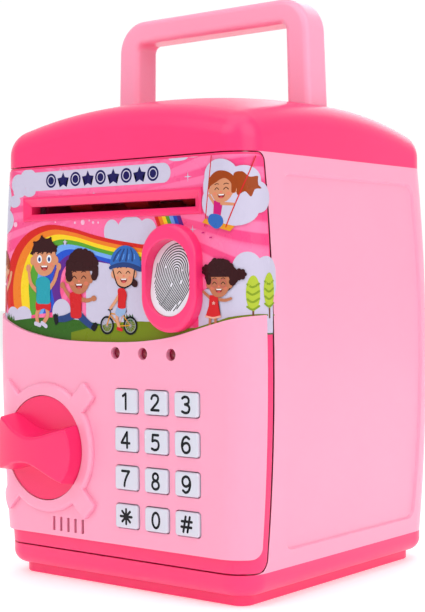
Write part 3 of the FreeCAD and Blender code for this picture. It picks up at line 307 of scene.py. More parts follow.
FINISH = {
    "hot_pink": moulded("hot pink plastic", HOT_PINK, HOT_DEEP, rough=0.35, coat=0.2, glow=0.15),
    "light_pink": moulded("light pink plastic", LIGHT_PINK, LIGHT_DEEP, rough=0.34, coat=0.2, glow=0.15),
    "printed_sheet": sunburst(),
    "window_print": ink("window white", (0.78, 0.79, 0.86), 0.05),
    "key_white": moulded("white key plastic", (0.64, 0.65, 0.74), (0.61, 0.62, 0.72), rough=0.26, coat=0.3,
                         glow=0.1),
    "red_lens": red_lens(),
    "screw_steel": metal("zinc plate", (0.55, 0.55, 0.58), (0.4, 0.4, 0.43), 0.28),
    "pin_steel": metal("plain steel", (0.6, 0.6, 0.62), (0.42, 0.42, 0.45), 0.22),
    "motor_can": metal("motor can", (0.63, 0.64, 0.67), (0.5, 0.5, 0.54), 0.3),
    "board": circuit_board(),
    "grey_rubber": moulded("grey silicone", (0.42, 0.42, 0.44), (0.36, 0.36, 0.38), rough=0.6, coat=0.0),
    "red_rubber": moulded("red rubber", (0.8, 0.02, 0.03), (0.7, 0.012, 0.02), rough=0.6, peel=0.3, coat=0.0),
    "black_plastic": moulded("black plastic", (0.016, 0.016, 0.018), (0.026, 0.026, 0.028), rough=0.45,
                             peel=0.2),
    "white_gear": moulded("acetal", (0.8, 0.79, 0.74), (0.72, 0.71, 0.66), rough=0.4, coat=0.0, glow=0.2),
    "speaker_paper": moulded("speaker paper", (0.03, 0.03, 0.032), (0.05, 0.05, 0.05), rough=0.85, peel=0.6,
                             coat=0.0),
    "copper_coil": coil_winding(),
    "cell_wrap": cell_sleeve(),
}


# ---------------------------------------------------------------- CAD parts and their finishes

for node_name, node in NODES.items():
    node.data.materials.clear()
    node.data.materials.append(FINISH[SLOT_OF[node_name]])
KNOB_PINK = (0.91, 0.012, 0.14)
KNOB_DEEP = (0.87, 0.009, 0.12)
NODES["knob"].data.materials[0] = moulded("deep pink plastic", KNOB_PINK, KNOB_DEEP, rough=0.33, coat=0.15,
                                          glow=0.1)


# ---------------------------------------------------------------- floor, light and camera

def lamp(name, place, aim_height, size, power):
    """A rectangular light that shines at a point above the middle of the base."""
    data = bpy.data.lights.new(name, "AREA")
    data.shape = "RECTANGLE"
    data.size, data.size_y = size
    data.energy = power
    light = bpy.data.objects.new(name, data)
    light.location = place
    way = Vector((0, 0, aim_height)) - Vector(place)
    light.rotation_euler = way.to_track_quat("-Z", "Y").to_euler()
    bpy.context.scene.collection.objects.link(light)


def floor():
    bm = bmesh.new()
    bmesh.ops.create_grid(bm, x_segments=4, y_segments=4, size=4.0)
    mesh = bpy.data.meshes.new("floor")
    bm.to_mesh(mesh)
    bm.free()
    material, tree, bsdf = new_material("floor paper")
    grain = put(tree, "ShaderNodeTexNoise", {"Scale": 300.0, "Detail": 2.0})
    paper = blend_colours(tree, grain.outputs["Fac"], (0.94, 0.94, 0.94), (0.92, 0.92, 0.92))
    feed(tree, bsdf, "Base Color", paper)
    set_inputs(bsdf, Roughness=0.8, Emission_Color=(1, 1, 1, 1), Emission_Strength=0.3)
    mesh.materials.append(material)
    plane = bpy.data.objects.new("floor", mesh)
    bpy.context.scene.collection.objects.link(plane)


FAR_SIDE = (-0.62, 0.78, 0.0)    # from the camera past the object


def world_light():
    """A white studio, brighter behind the object than in front of it."""
    world = bpy.data.worlds.new("studio")
    bpy.context.scene.world = world
    world.use_nodes = True
    tree = world.node_tree
    where = put(tree, "ShaderNodeTexCoord").outputs["Object"]
    way = put(tree, "ShaderNodeVectorMath", {0: where, 1: FAR_SIDE}, operation="DOT_PRODUCT")
    glow = put(tree, "ShaderNodeMapRange", {"Value": way.outputs["Value"], "From Min": 0.3, "From Max": 0.9,
                                            "To Min": 0.5, "To Max": 1.02})
    background = tree.nodes["Background"]
    feed(tree, background, "Strength", glow.outputs[0])
    set_inputs(background, Color=(1, 1, 1, 1))


CAMERA_PLACE = (0.35667, -0.45153, 0.11509)
CAMERA_TURN = math.radians(38.545)
CAMERA_DIP = math.radians(-0.982)
CAMERA_ROLL = math.radians(-0.477)
FOCAL_SHARE = 2.3078         # focal length over the frame's height


def camera():
    ahead = Vector((-math.sin(CAMERA_TURN) * math.cos(CAMERA_DIP),
                    math.cos(CAMERA_TURN) * math.cos(CAMERA_DIP), math.sin(CAMERA_DIP)))
    right = Vector((math.cos(CAMERA_TURN), math.sin(CAMERA_TURN), 0))
    up = right.cross(ahead)
    tilt_right = math.cos(CAMERA_ROLL) * right + math.sin(CAMERA_ROLL) * up
    tilt_up = -math.sin(CAMERA_ROLL) * right + math.cos(CAMERA_ROLL) * up
    data = bpy.data.cameras.new("camera")
    data.sensor_fit = "AUTO"
    data.sensor_width = 36.0
    data.lens = FOCAL_SHARE * data.sensor_width
    data.clip_start = 0.01
    eye = bpy.data.objects.new("camera", data)
    turn = Matrix((tilt_right, tilt_up, -ahead)).transposed().to_4x4()
    eye.matrix_world = Matrix.Translation(CAMERA_PLACE) @ turn
    bpy.context.scene.collection.objects.link(eye)
    bpy.context.scene.camera = eye


floor()
world_light()
lamp("side light", (1.2, -0.25, 0.8), 0.12, (1.2, 1.2), 7)
lamp("front light", (-0.15, -1.25, 1.1), 0.1, (1.4, 0.9), 6)
lamp("top light", (0.15, -0.2, 1.3), 0.15, (1.2, 1.2), 5)
lamp("back light", (-0.3, 1.2, 0.8), 0.1, (1.0, 0.8), 3)
camera()
bpy.context.scene.view_settings.view_transform = "Standard"

# ---------------------------------------------------------------- printed figures

DOOR_LOW, DOOR_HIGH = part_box("door_panel")
SHEET_LOW, SHEET_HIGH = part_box("graphic_sheet")
SHEET_Y = SHEET_LOW.y
SHEET_TOP = SHEET_HIGH.z
CORNER = 0.011               # radius of the door's upright corners
SIDE_REACH = DOOR_HIGH.x - CORNER
BULGE_R = 0.75               # of the door's sides, seen from the front
LAYER = 0.0000013            # each print layer lies this much above the last
FIRST_LAYER = 0.00001
CORNER_CUTS = (25, 0.0007, 0.004)    # upright cuts: how many, how far apart, how far before the bend
LEVEL_CUTS = (64, 0.001)             # level cuts: how many, how far apart
CUT_REACH = 0.0041                   # shapes are cut from this far before the bend
WAVE_FOOT = 0.09                     # the front panel's wavy edge is above this height
COLUMN = 0.002


def panel_top():
    """The front panel's top edge as points (x, z), read from the CAD part."""
    seen = {}
    for vertex in NODES["front_panel"].data.vertices:
        x, _, z = vertex.co
        if z > WAVE_FOOT:
            column = round(x / COLUMN)
            seen[column] = max(seen.get(column, 0), z)
    return sorted((column * COLUMN, z) for column, z in seen.items())


PANEL_TOP = panel_top()


def panel_edge_z(x):
    """Height of the front panel's wavy edge at x."""
    x = max(PANEL_TOP[0][0], min(PANEL_TOP[-1][0], x))
    for (x0, z0), (x1, z1) in zip(PANEL_TOP, PANEL_TOP[1:]):
        if x0 <= x <= x1:
            return z0 + (z1 - z0) * (x - x0) / (x1 - x0)
    return PANEL_TOP[-1][1]


def wrap(point, lift):
    """A flat point (x, z) laid on the sheet and round the door's upright corners."""
    x, z = point
    middle = (DOOR_LOW.z + DOOR_HIGH.z) / 2
    reach = SIDE_REACH - (z - middle) ** 2 / (2 * BULGE_R)
    if abs(x) <= reach:
        return Vector((x, SHEET_Y - lift, z))
    side = 1 if x > 0 else -1
    angle = (abs(x) - reach) / CORNER
    radius = CORNER + (DOOR_LOW.y - SHEET_Y) + lift
    x = side * (reach + radius * math.sin(angle))
    return Vector((x, DOOR_LOW.y + CORNER - radius * math.cos(angle), z))


def curve_through(points, closed=False, steps=6):
    """A smooth line through points."""
    count = len(points)
    smooth = []
    for i in range(count if closed else count - 1):
        near = [i + k for k in (-1, 0, 1, 2)]
        near = [k % count for k in near] if closed else [min(max(k, 0), count - 1) for k in near]
        p = [Vector(points[k]) for k in near]
        for s in range(steps):
            t = s / steps
            smooth.append(0.5 * (2 * p[1] + (p[2] - p[0]) * t
                                 + (2 * p[0] - 5 * p[1] + 4 * p[2] - p[3]) * t * t
                                 + (3 * p[1] - p[0] - 3 * p[2] + p[3]) * t ** 3))
    if not closed:
        smooth.append(Vector(points[-1]))
    return smooth


def cut_corner(bm, side, place, way):
    """Cuts the flat shapes that lie past where the door's corner starts to bend."""
    past = SIDE_REACH - CUT_REACH
    faces = [f for f in bm.faces if max(side * v.co.x for v in f.verts) > past]
    if not faces:
        return
    edges = {e for f in faces for e in f.edges}
    verts = {v for f in faces for v in f.verts}
    bmesh.ops.bisect_plane(bm, geom=[*faces, *edges, *verts], plane_co=place, plane_no=way)


class Print:
    """Flat shapes in printed colours, laid on the sheet one over another. Lengths are in millimetres."""
    level = 0
    inks = {}

    def __init__(self, name):
        self.name = name
        self.bm = bmesh.new()
        self.used = []

    def face(self, points, colour):
        if colour not in Print.inks:
            Print.inks[colour] = ink(" ".join(str(round(c, 2)) for c in colour), colour)
        if colour not in self.used:
            self.used.append(colour)
        Print.level += 1
        verts = [self.bm.verts.new((x * MM, Print.level * LAYER, z * MM)) for x, z in points]
        made = self.bm.faces.new(verts)
        made.material_index = self.used.index(colour)
        return made

    def blob(self, points, colour):
        self.face([tuple(p) for p in curve_through(points, True)], colour)

    def oval(self, x, z, rx, rz, colour, tilt=0.0, start=0.0, end=360.0):
        a = math.radians(tilt)
        count = 28
        points = []
        for i in range(count + (1 if end - start < 360 else 0)):
            t = math.radians(start + (end - start) * i / count)
            u, v = rx * math.cos(t), rz * math.sin(t)
            points.append((x + u * math.cos(a) - v * math.sin(a),
                           z + u * math.sin(a) + v * math.cos(a)))
        self.face(points, colour)

    def ribbon(self, points, width, colour, end_width=None, smooth=True):
        """A band of even or tapering width along a line, with round ends."""
        line = curve_through(points) if smooth else [Vector(p) for p in points]
        end_width = width if end_width is None else end_width
        left, right = [], []
        count = len(line) - 1
        for i, p in enumerate(line):
            d = (line[min(i + 1, count)] - line[max(i - 1, 0)]).normalized()
            half = (width + (end_width - width) * i / count) / 2
            side = Vector((-d.y, d.x)) * half
            left.append(p + side)
            right.append(p - side)
        for i in range(count):
            self.face([tuple(q) for q in (left[i], right[i], right[i + 1], left[i + 1])], colour)
            Print.level -= 1
        Print.level += 1
        if width > 0.5:
            self.oval(*line[0], width / 2, width / 2, colour)
            self.oval(*line[-1], end_width / 2, end_width / 2, colour)

    def ring(self, x, z, r, width, colour):
        turn = [(x + r * math.cos(math.tau * i / 24), z + r * math.sin(math.tau * i / 24)) for i in range(25)]
        self.ribbon(turn, width, colour, smooth=False)

    def finish(self, surface=wrap, body="door", top=SHEET_TOP):
        """Cuts the shapes at the sheet's top, lets them bend at the corners and lays them down."""
        bm = self.bm
        bmesh.ops.triangulate(bm, faces=[f for f in bm.faces if len(f.verts) > 4])
        if top:
            whole = bm.verts[:] + bm.edges[:] + bm.faces[:]
            bmesh.ops.bisect_plane(bm, geom=whole, plane_co=(0, 0, top), plane_no=(0, 0, 1), clear_outer=True)
            count, apart, before = CORNER_CUTS
            levels, height = LEVEL_CUTS
            for side in (-1, 1):
                for k in range(count):
                    cut_corner(bm, side, (side * (SIDE_REACH - before + k * apart), 0, 0), (1, 0, 0))
                for k in range(levels):
                    cut_corner(bm, side, (0, 0, top - height * (k + 0.5)), (0, 0, 1))
        for vertex in bm.verts:
            vertex.co = surface((vertex.co.x, vertex.co.z), vertex.co.y + FIRST_LAYER)
        mesh = bpy.data.meshes.new(self.name)
        bm.normal_update()
        turned = [f for f in bm.faces if f.normal.dot(Vector((f.calc_center_median().x * 4, -1, 0))) < 0]
        bmesh.ops.reverse_faces(bm, faces=turned)
        bm.to_mesh(mesh)
        bm.free()
        for colour in self.used:
            mesh.materials.append(Print.inks[colour])
        piece = bpy.data.objects.new(self.name, mesh)
        bpy.context.scene.collection.objects.link(piece)
        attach(piece, body)
        return piece


WHITE = (0.56, 0.52, 0.67)
NAVY = (0.012, 0.008, 0.09)
RAINBOW = [(0.62, 0.02, 0.015), (0.78, 0.2, 0.02), (0.85, 0.6, 0.02), (0.09, 0.33, 0.03),
           (0.16, 0.36, 0.8), (0.02, 0.08, 0.55), (0.11, 0.02, 0.25)]
GRASS_DARK = (0.03, 0.12, 0.01)
GRASS = (0.16, 0.22, 0.005)
SKIN = [(0.62, 0.26, 0.14), (0.48, 0.17, 0.085), (0.68, 0.31, 0.18)]
HAIR = (0.035, 0.006, 0.008)
AUBURN = (0.31, 0.05, 0.007)
RED = (0.6, 0.015, 0.02)
TEAL = (0.02, 0.32, 0.4)
BLUE = (0.03, 0.13, 0.45)
DENIM = (0.02, 0.05, 0.19)
MAGENTA = (0.55, 0.01, 0.17)
BROWN = (0.16, 0.06, 0.02)
BLACK = (0.006, 0.006, 0.01)
GOLD = (0.72, 0.28, 0.02)
LEAF = (0.42, 0.52, 0.04)
LEAF_DARK = (0.22, 0.32, 0.02)
BLUSH = (0.75, 0.18, 0.12)
BUBBLE = (0.85, 0.45, 0.62)
STEEL = (0.3, 0.3, 0.34)


def cloud(art, puffs):
    for x, z, rx, rz in puffs:
        art.oval(x, z, rx, rz, WHITE)


def star(art, x, z, reach, colour, points=4, waist=0.16):
    outline = []
    for i in range(points * 2):
        r = reach if i % 2 == 0 else reach * waist
        a = math.pi / 2 + math.pi * i / points
        outline.append((x + r * math.cos(a), z + r * math.sin(a)))
    art.face(outline, colour)


def sky_pictures():
    art = Print("art_sky")
    cloud(art, [(-50, 154.2, 4.4, 3.8), (-44.5, 156, 4.6, 3.8), (-49.5, 151.2, 3.6, 2.4),
                (-44, 150.8, 3.4, 1.9)])
    cloud(art, [(-59, 148.5, 4.5, 6), (-52.5, 147.4, 3.4, 2.4), (-58, 140, 5, 4.6), (-60, 137, 4, 2.4)])
    cloud(art, [(32, 159.5, 4.5, 1.1), (39, 160.2, 4, 0.9)])
    cloud(art, [(-0.5, 134, 4.0, 4.6), (9, 135.3, 6.4, 4.3), (17, 134, 4.4, 4.4), (8, 131.2, 12.5, 2.6)])
    for x, z, r in ((36.4, 152.6, 1.9), (38.4, 133.8, 1.7), (-24.8, 130.8, 1.3), (-9.5, 148.8, 0.9),
                    (-27, 158.5, 1.0)):
        star(art, x, z, r, WHITE)
    for x, z, r in ((-52, 138.3, 1.0), (-19.5, 138, 0.5), (-15.4, 138, 1.0), (-12, 138.6, 0.4),
                    (-10, 137.8, 0.55), (-7.4, 137.7, 0.45), (-30, 138.6, 0.35)):
        art.oval(x, z, r, r, BUBBLE)
    art.finish()


def title_strip():
    """A white strip with a row of coins and stars."""
    art = Print("art_coin_strip")
    low, high = 151.0, 158.2
    left, right = -40, 24.8
    mid = (low + high) / 2
    half = (high - low) / 2
    art.oval(left, mid, half, half, WHITE, start=90, end=270)
    art.face([(left, low), (right, low), (right, high), (left, high)], WHITE)
    art.oval(right, mid, half, half, WHITE, start=-90, end=90)
    for i in range(9):
        x = -32 + i * 6.5
        if i % 2 == 0:
            art.oval(x, mid, 2.75, 2.75, NAVY)
            art.ring(x, mid, 1.75, 0.4, WHITE)
        else:
            star(art, x, mid - 0.25, 3.2, NAVY, 5, 0.5)
    art.finish()


def rainbow():
    """Seven bands that rise at the left, arch over and run off behind the fingerprint reader."""
    art = Print("art_rainbow")
    outer = [(-55, 101.5), (-58, 108), (-57.5, 118), (-53, 128), (-45, 134.8), (-34, 137.6), (-22, 136.2),
             (-10, 133.2), (2, 130.8), (18.5, 128.4)]
    inner = [(-30, 104), (-26.5, 107), (-27.8, 112), (-27, 118), (-24.5, 121.6), (-20, 124), (-13, 123.6),
             (-6, 121.8), (2, 120.2), (18.5, 117.8)]
    outer = curve_through(outer)
    inner = curve_through(inner)
    bands = len(RAINBOW)
    for k, colour in enumerate(RAINBOW):
        near, far = (k / bands, (k + 1) / bands + (0.01 if k < bands - 1 else 0))
        a = [p.lerp(q, near) for p, q in zip(outer, inner)]
        b = [p.lerp(q, far) for p, q in zip(outer, inner)]
        for i in range(len(a) - 1):
            art.face([tuple(p) for p in (a[i], a[i + 1], b[i + 1], b[i])], colour)
            Print.level -= 1
        Print.level += 1
    for k, colour in enumerate(RAINBOW):
        x = 20.5 + k * 1.75
        art.face([(x, 138.9), (x + 1.8, 138.9), (x + 3.4, 135.2), (x + 1.6, 135.2)], colour)
    star(art, -24.8, 130.6, 1.3, WHITE, 5, 0.45)
    art.finish()


def ground():
    """The white field behind the children, clouds along its foot, and two hills."""
    art = Print("art_ground")
    art.face([(-14, 97), (19, 97), (19, 118), (2, 121.5), (-8, 123), (-14, 120)], WHITE)
    art.face([(40.8, 97), (71, 97), (71, 116), (64, 121), (58, 118), (52, 113), (44, 112.5), (40.8, 110)],
             WHITE)
    cloud(art, [(61, 119, 5.5, 6.5), (68, 116, 6, 8), (56, 112, 6, 6)])
    cloud(art, [(-54, 102.5, 3.4, 3.4), (-48, 102.5, 4.5, 3.6), (-60, 101, 4, 2.6), (-27, 104, 5, 5),
                (-20, 101, 5, 5)])
    for x0, x1, colour in ((-64, -6, GRASS_DARK), (-22, 72, GRASS)):
        steps = 26
        xs = [x0 + (x1 - x0) * i / steps for i in range(steps + 1)]
        edge = [panel_edge_z(x * MM) / MM for x in xs]
        if colour == GRASS_DARK:
            top = [99.2 + 2.6 * math.sin(math.pi * min(max((x + 62) / 58, 0), 1)) for x in xs]
        else:
            top = [96.2 + 4.6 * math.sin(math.pi * min(max((x + 22) / 70, 0), 1)) for x in xs]
            top = [z if x < 34 else max(z, rim + 0.9 * min((74 - x) / 20, 1))
                   for x, z, rim in zip(xs, top, edge)]
        low = [rim - 0.3 for rim in edge]
        for i in range(steps):
            art.face([(xs[i], min(low[i], top[i] - 0.05)), (xs[i + 1], min(low[i + 1], top[i + 1] - 0.05)),
                      (xs[i + 1], top[i + 1]), (xs[i], top[i])], colour)
            Print.level -= 1
        Print.level += 1
    art.face([(61.5, 96.5), (71, 96.5), (71, 101.2), (61.5, 101.2)], (0.1, 0.14, 0.08))
    for x in (-57, -55.6, -54, -31, -29.6, 6, 7.6, 9):
        base = panel_edge_z(x * MM) / MM if x < -50 else 101
        art.blob([(x - 0.9, base), (x - 0.4, base + 2.2), (x + 0.1, base + 0.8), (x + 0.5, base + 2.6),
                  (x + 1, base)], GRASS_DARK)
    art.finish()


def trees():
    art = Print("art_trees")
    for x, z in ((63.0, 110.5), (69.3, 111.5)):
        art.ribbon([(x, z - 9), (x, z)], 0.7, BROWN)
        art.oval(x, z + 0.5, 2.5, 6.2, LEAF)
        for k in range(4):
            drop = 2.6 * k
            art.ribbon([(x - 2, z + 3.6 - drop), (x - 0.2, z + 2.6 - drop), (x + 2.1, z + 3.8 - drop)], 0.75,
                       LEAF_DARK)
    art.finish()


def smile(art, x, z, w):
    art.oval(x, z, w, w * 0.95, (0.22, 0.008, 0.012), start=180, end=360)
    art.oval(x, z - w * 0.72, w * 0.5, w * 0.24, (0.6, 0.08, 0.08))
    art.face([(x - w * 0.8, z), (x + w * 0.8, z), (x + w * 0.66, z - w * 0.26), (x - w * 0.66, z - w * 0.26)],
             (0.85, 0.85, 0.88))


def face(art, x, z, r, skin, shut=True):
    """A round head with ears, cheeks, eyes and a smile."""
    cheek = tuple(0.5 * (a + b) for a, b in zip(skin, BLUSH))
    for side in (-1, 1):
        art.oval(x + side * r * 0.98, z - r * 0.12, r * 0.2, r * 0.26, skin)
    art.oval(x, z, r, r * 0.96, skin)
    art.oval(x, z - r * 0.3, r * 0.86, r * 0.74, skin)
    for side in (-1, 1):
        art.oval(x + side * r * 0.6, z - r * 0.38, r * 0.19, r * 0.13, cheek)
        ex, ez = x + side * r * 0.4, z - r * 0.02
        left, right = ex - r * 0.2, ex + r * 0.2
        if shut:
            art.ribbon([(left, ez - r * 0.06), (ex, ez + r * 0.1), (right, ez - r * 0.06)], r * 0.07, HAIR)
        else:
            art.oval(ex, ez, r * 0.2, r * 0.24, (0.8, 0.82, 0.88))
            art.oval(ex, ez - r * 0.02, r * 0.11, r * 0.14, DENIM)
        art.ribbon([(left, ez + r * 0.32), (ex, ez + r * 0.4), (right, ez + r * 0.34)], r * 0.06, HAIR)
    art.oval(x, z - r * 0.24, r * 0.09, r * 0.07, BLUSH)
    smile(art, x, z - r * 0.42, r * 0.32)


def tousled(art, x, z, r, colour, curls):
    """Hair as a cap over the head's top with curls round its edge."""
    art.oval(x, z + r * 0.22, r * 1.08, r * 0.98, colour, start=8, end=172)
    for i in range(curls):
        a = math.radians(-4 + 188 * i / (curls - 1))
        art.oval(x + r * 1.02 * math.cos(a), z + r * 0.18 + r * 0.92 * math.sin(a), r * 0.26, r * 0.26,
                 colour)
    for i in range(4):
        art.oval(x - r * 0.66 + i * r * 0.42, z + r * 0.42, r * 0.28, r * 0.2, colour, tilt=-20)


def curly(art, x, z, r, colour, seed):
    """A mass of small curls round the head's top and sides."""
    dice = random.Random(seed)
    art.oval(x, z + r * 0.3, r * 1.2, r * 1.0, colour, start=-8, end=188)
    for i in range(26):
        a = math.radians(-24 + 228 * i / 25)
        out = 1.12 + 0.14 * dice.random()
        size = r * (0.2 + 0.12 * dice.random())
        art.oval(x + r * out * math.cos(a), z + r * 0.24 + r * out * 0.9 * math.sin(a), size, size, colour)
    for i in range(7):
        art.oval(x - r * 0.78 + i * r * 0.26, z + r * (0.46 + 0.12 * dice.random()), r * 0.2, r * 0.2,
                 colour)


def spiky(art, x, z, r, colour):
    """Short hair that stands up in tufts, with a swept fringe."""
    art.oval(x, z + r * 0.2, r * 1.06, r * 0.9, colour, start=6, end=174)
    for i in range(9):
        a = math.radians(12 + 19.5 * i)
        lean = a + 0.22 * (-1) ** i
        tip = (x + r * 1.2 * math.cos(lean), z + r * 0.24 + r * 1.08 * math.sin(lean))
        feet = [(x + r * 0.94 * math.cos(b), z + r * 0.2 + r * 0.84 * math.sin(b))
                for b in (a - 0.3, a + 0.3)]
        art.face([feet[0], tip, feet[1]], colour)
    for i in range(5):
        left = x - r * 0.92 + i * r * 0.36
        art.face([(left, z + r * 0.62), (left + r * 0.46, z + r * 0.62), (left + r * 0.04, z + r * 0.14)],
                 colour)


def peeping_child():
    """A face and an arm half hidden at the sheet's left edge."""
    art = Print("art_child_peeping")
    skin = SKIN[2]
    art.ribbon([(-58.5, 112), (-55.8, 116), (-54.6, 119.4)], 1.6, skin, 1.3)
    art.blob([(-66, 113.5), (-60.5, 114.2), (-57.8, 112.4), (-58.2, 107), (-60, 103.6), (-66, 103)], RED)
    face(art, -62, 120.6, 5.2, skin)
    tousled(art, -62, 121.4, 5.2, AUBURN, 9)
    art.finish()


def waving_child():
    """Standing on one leg with both arms up, in a teal shirt."""
    art = Print("art_child_waving")
    skin = SKIN[0]
    art.ribbon([(-40, 112), (-43.5, 115), (-44.6, 120)], 1.9, skin, 1.5)
    art.ribbon([(-33.5, 113), (-30.6, 116), (-28.6, 120.5)], 1.9, skin, 1.5)
    art.oval(-44.8, 121, 1.3, 1.5, skin)
    art.oval(-28.2, 121.4, 1.3, 1.5, skin)
    art.ribbon([(-38.5, 106), (-40.4, 103), (-40, 99.6)], 2.1, skin, 1.7)
    art.ribbon([(-35, 106), (-34.5, 102.6), (-37, 99.5)], 2.1, skin, 1.7)
    art.ribbon([(-41.2, 99.4), (-38.8, 98.8)], 1.6, WHITE)
    art.ribbon([(-37.6, 99.6), (-35.4, 98.4)], 1.6, WHITE)
    art.blob([(-40.2, 108.5), (-33.4, 108.5), (-33, 104.4), (-36.4, 105.2), (-40.6, 104.6)], RED)
    art.blob([(-40.6, 116.2), (-37, 117.6), (-33.2, 116.2), (-33, 111), (-33.2, 107.4), (-37, 107),
              (-40.4, 107.6), (-40.4, 112)], TEAL)
    face(art, -36.0, 124.6, 6.5, skin, shut=False)
    spiky(art, -36.0, 125.2, 6.6, HAIR)
    art.finish()


def running_child():
    """Leaping with wide legs and one arm out, in a red shirt."""
    art = Print("art_child_running")
    skin = SKIN[1]
    art.ribbon([(-21.5, 109), (-24, 111.5), (-25.6, 113.6)], 1.8, skin, 1.4)
    art.ribbon([(-17, 109), (-13.4, 108.4), (-10.6, 109)], 1.8, skin, 1.4)
    art.oval(-26.2, 114.2, 1.3, 1.2, skin)
    art.oval(-9.8, 109.2, 1.4, 1.1, skin)
    art.ribbon([(-20.4, 103), (-24.6, 101.6), (-28.6, 101.2)], 3.2, DENIM, 2.2)
    art.ribbon([(-17.6, 103), (-14, 100.4), (-10.6, 98.4)], 3.2, DENIM, 2.2)
    art.blob([(-31.2, 102.6), (-29.4, 103), (-28.6, 100.2), (-30.2, 99)], BLACK)
    art.blob([(-11.4, 98.2), (-9.2, 100.2), (-8, 99), (-9.6, 96.8)], BLACK)
    art.blob([(-22.4, 110.8), (-19, 111.8), (-16.2, 110.6), (-16.4, 106), (-16.6, 102), (-21.6, 102),
              (-22, 106)], RED)
    face(art, -17.4, 117.2, 6.1, skin)
    curly(art, -15.8, 118.6, 6.0, HAIR, 3)
    art.finish()


def wheel(art, x, z, r):
    art.ring(x, z, r, 0.75, BLACK)
    art.ring(x, z, r * 0.8, 0.2, (0.4, 0.4, 0.44))
    for i in range(6):
        a = math.tau * i / 12
        dx, dz = r * 0.85 * math.cos(a), r * 0.85 * math.sin(a)
        art.ribbon([(x - dx, z - dz), (x + dx, z + dz)], 0.13, STEEL, smooth=False)
    art.oval(x, z, 0.6, 0.6, STEEL)


def cycling_child():
    """On a bicycle, with a blue helmet."""
    art = Print("art_child_cycling")
    skin = SKIN[2]
    wheel(art, -3.1, 99.2, 3.1)
    wheel(art, 8.6, 99.2, 3.1)
    frame_line = [(-3.1, 99.2), (-1.3, 103.6), (4.8, 103.0), (3.0, 99.0), (-0.9, 102.6)]
    art.ribbon(frame_line, 0.55, GOLD, smooth=False)
    art.ribbon([(4.8, 103.2), (8.6, 99.2), (3.0, 99.0)], 0.5, GOLD, smooth=False)
    art.ribbon([(-1.6, 104.8), (-1.0, 103.0)], 0.45, BLACK)
    art.ribbon([(-2.6, 104.9), (-0.4, 105.2)], 0.5, BLACK)
    art.ribbon([(3.6, 104.2), (6.4, 104.4)], 0.9, BLACK)
    art.ribbon([(4.4, 104.5), (2.0, 102.4), (3.0, 98.4)], 1.7, skin, 1.3)
    art.blob([(6.2, 106.6), (2.6, 106.4), (1.2, 103.6), (3.4, 102.4), (6.2, 103.8)], (0.28, 0.4, 0.62))
    art.ribbon([(2.4, 98.0), (4.2, 97.6)], 1.3, RED)
    art.ribbon([(3.2, 110.4), (1.0, 107.8), (-1.2, 105.6)], 1.5, skin, 1.2)
    art.blob([(2.6, 112.6), (5.6, 112.8), (7.0, 110.6), (6.4, 107.6), (6.2, 105.6), (2.6, 105.8), (2.8, 109)],
             RED)
    art.oval(10.8, 114.8, 1.7, 1.4, HAIR, tilt=-30)
    face(art, 5.6, 118.8, 5.4, skin)
    art.ribbon([(0.2, 119.8), (2.4, 114.4), (6, 113.1)], 0.55, BLACK)
    art.ribbon([(11.1, 119.8), (9.6, 114.8), (6, 113.1)], 0.55, BLACK)
    art.oval(6.4, 121.4, 7.6, 7.4, BLUE, tilt=-5, start=-4, end=184)
    art.blob([(-1.4, 121.2), (3, 122.4), (8, 122.4), (14, 120.6), (13.6, 119), (8, 120.6), (2, 120.6),
              (-1.2, 120)], DENIM)
    for k in range(4):
        art.ribbon([(0.6 + 3.1 * k, 123.2), (2.2 + 2.6 * k, 125.6), (4.4 + 1.6 * k, 127.4)], 0.9, DENIM, 0.5)
        art.ribbon([(2.1 + 3.0 * k, 123.6), (3.4 + 2.5 * k, 125.6)], 0.4, (0.14, 0.34, 0.75), 0.25)
    art.finish()


def girl_in_dress():
    """Holding her arms out, in a red dress, with two bunches."""
    art = Print("art_child_dress")
    skin = SKIN[1]
    art.ribbon([(46.2, 109.6), (43.4, 111.6)], 1.2, skin, 1.0)
    art.ribbon([(49.6, 109), (53, 108.6), (55.4, 109.2)], 1.2, skin, 1.0)
    art.ribbon([(46.4, 103), (46.2, 100.2)], 1.2, skin)
    art.ribbon([(48.6, 103), (48.8, 100.4)], 1.2, skin)
    art.face([(46.2, 110.4), (49.8, 110.4), (50.2, 106.6), (51.2, 102.6), (44.2, 102.6), (45.8, 106.6)], RED)
    art.ribbon([(44.4, 103), (47.6, 102.4), (51, 103)], 0.6, (0.78, 0.4, 0.3))
    star(art, 48, 107.6, 0.8, (0.8, 0.4, 0.35), 5, 0.5)
    for x in (45.2, 58.2):
        art.oval(x, 119.4 if x < 50 else 117.4, 1.9, 1.7, HAIR)
    art.oval(51, 116.6, 6.4, 5.6, HAIR)
    face(art, 50.4, 114.6, 4.8, skin)
    curly(art, 50.9, 116, 4.7, HAIR, 5)
    for x, z in ((45.0, 119.2), (58.6, 117.6)):
        for k in range(7):
            a = math.tau * k / 7
            art.oval(x + 1.5 * math.cos(a), z + 1.4 * math.sin(a), 0.75, 0.75, HAIR)
    for side in (-1, 1):
        art.ring(50.4 + side * 1.95, 114.5, 1.35, 0.28, (0.5, 0.1, 0.1))
    art.finish()


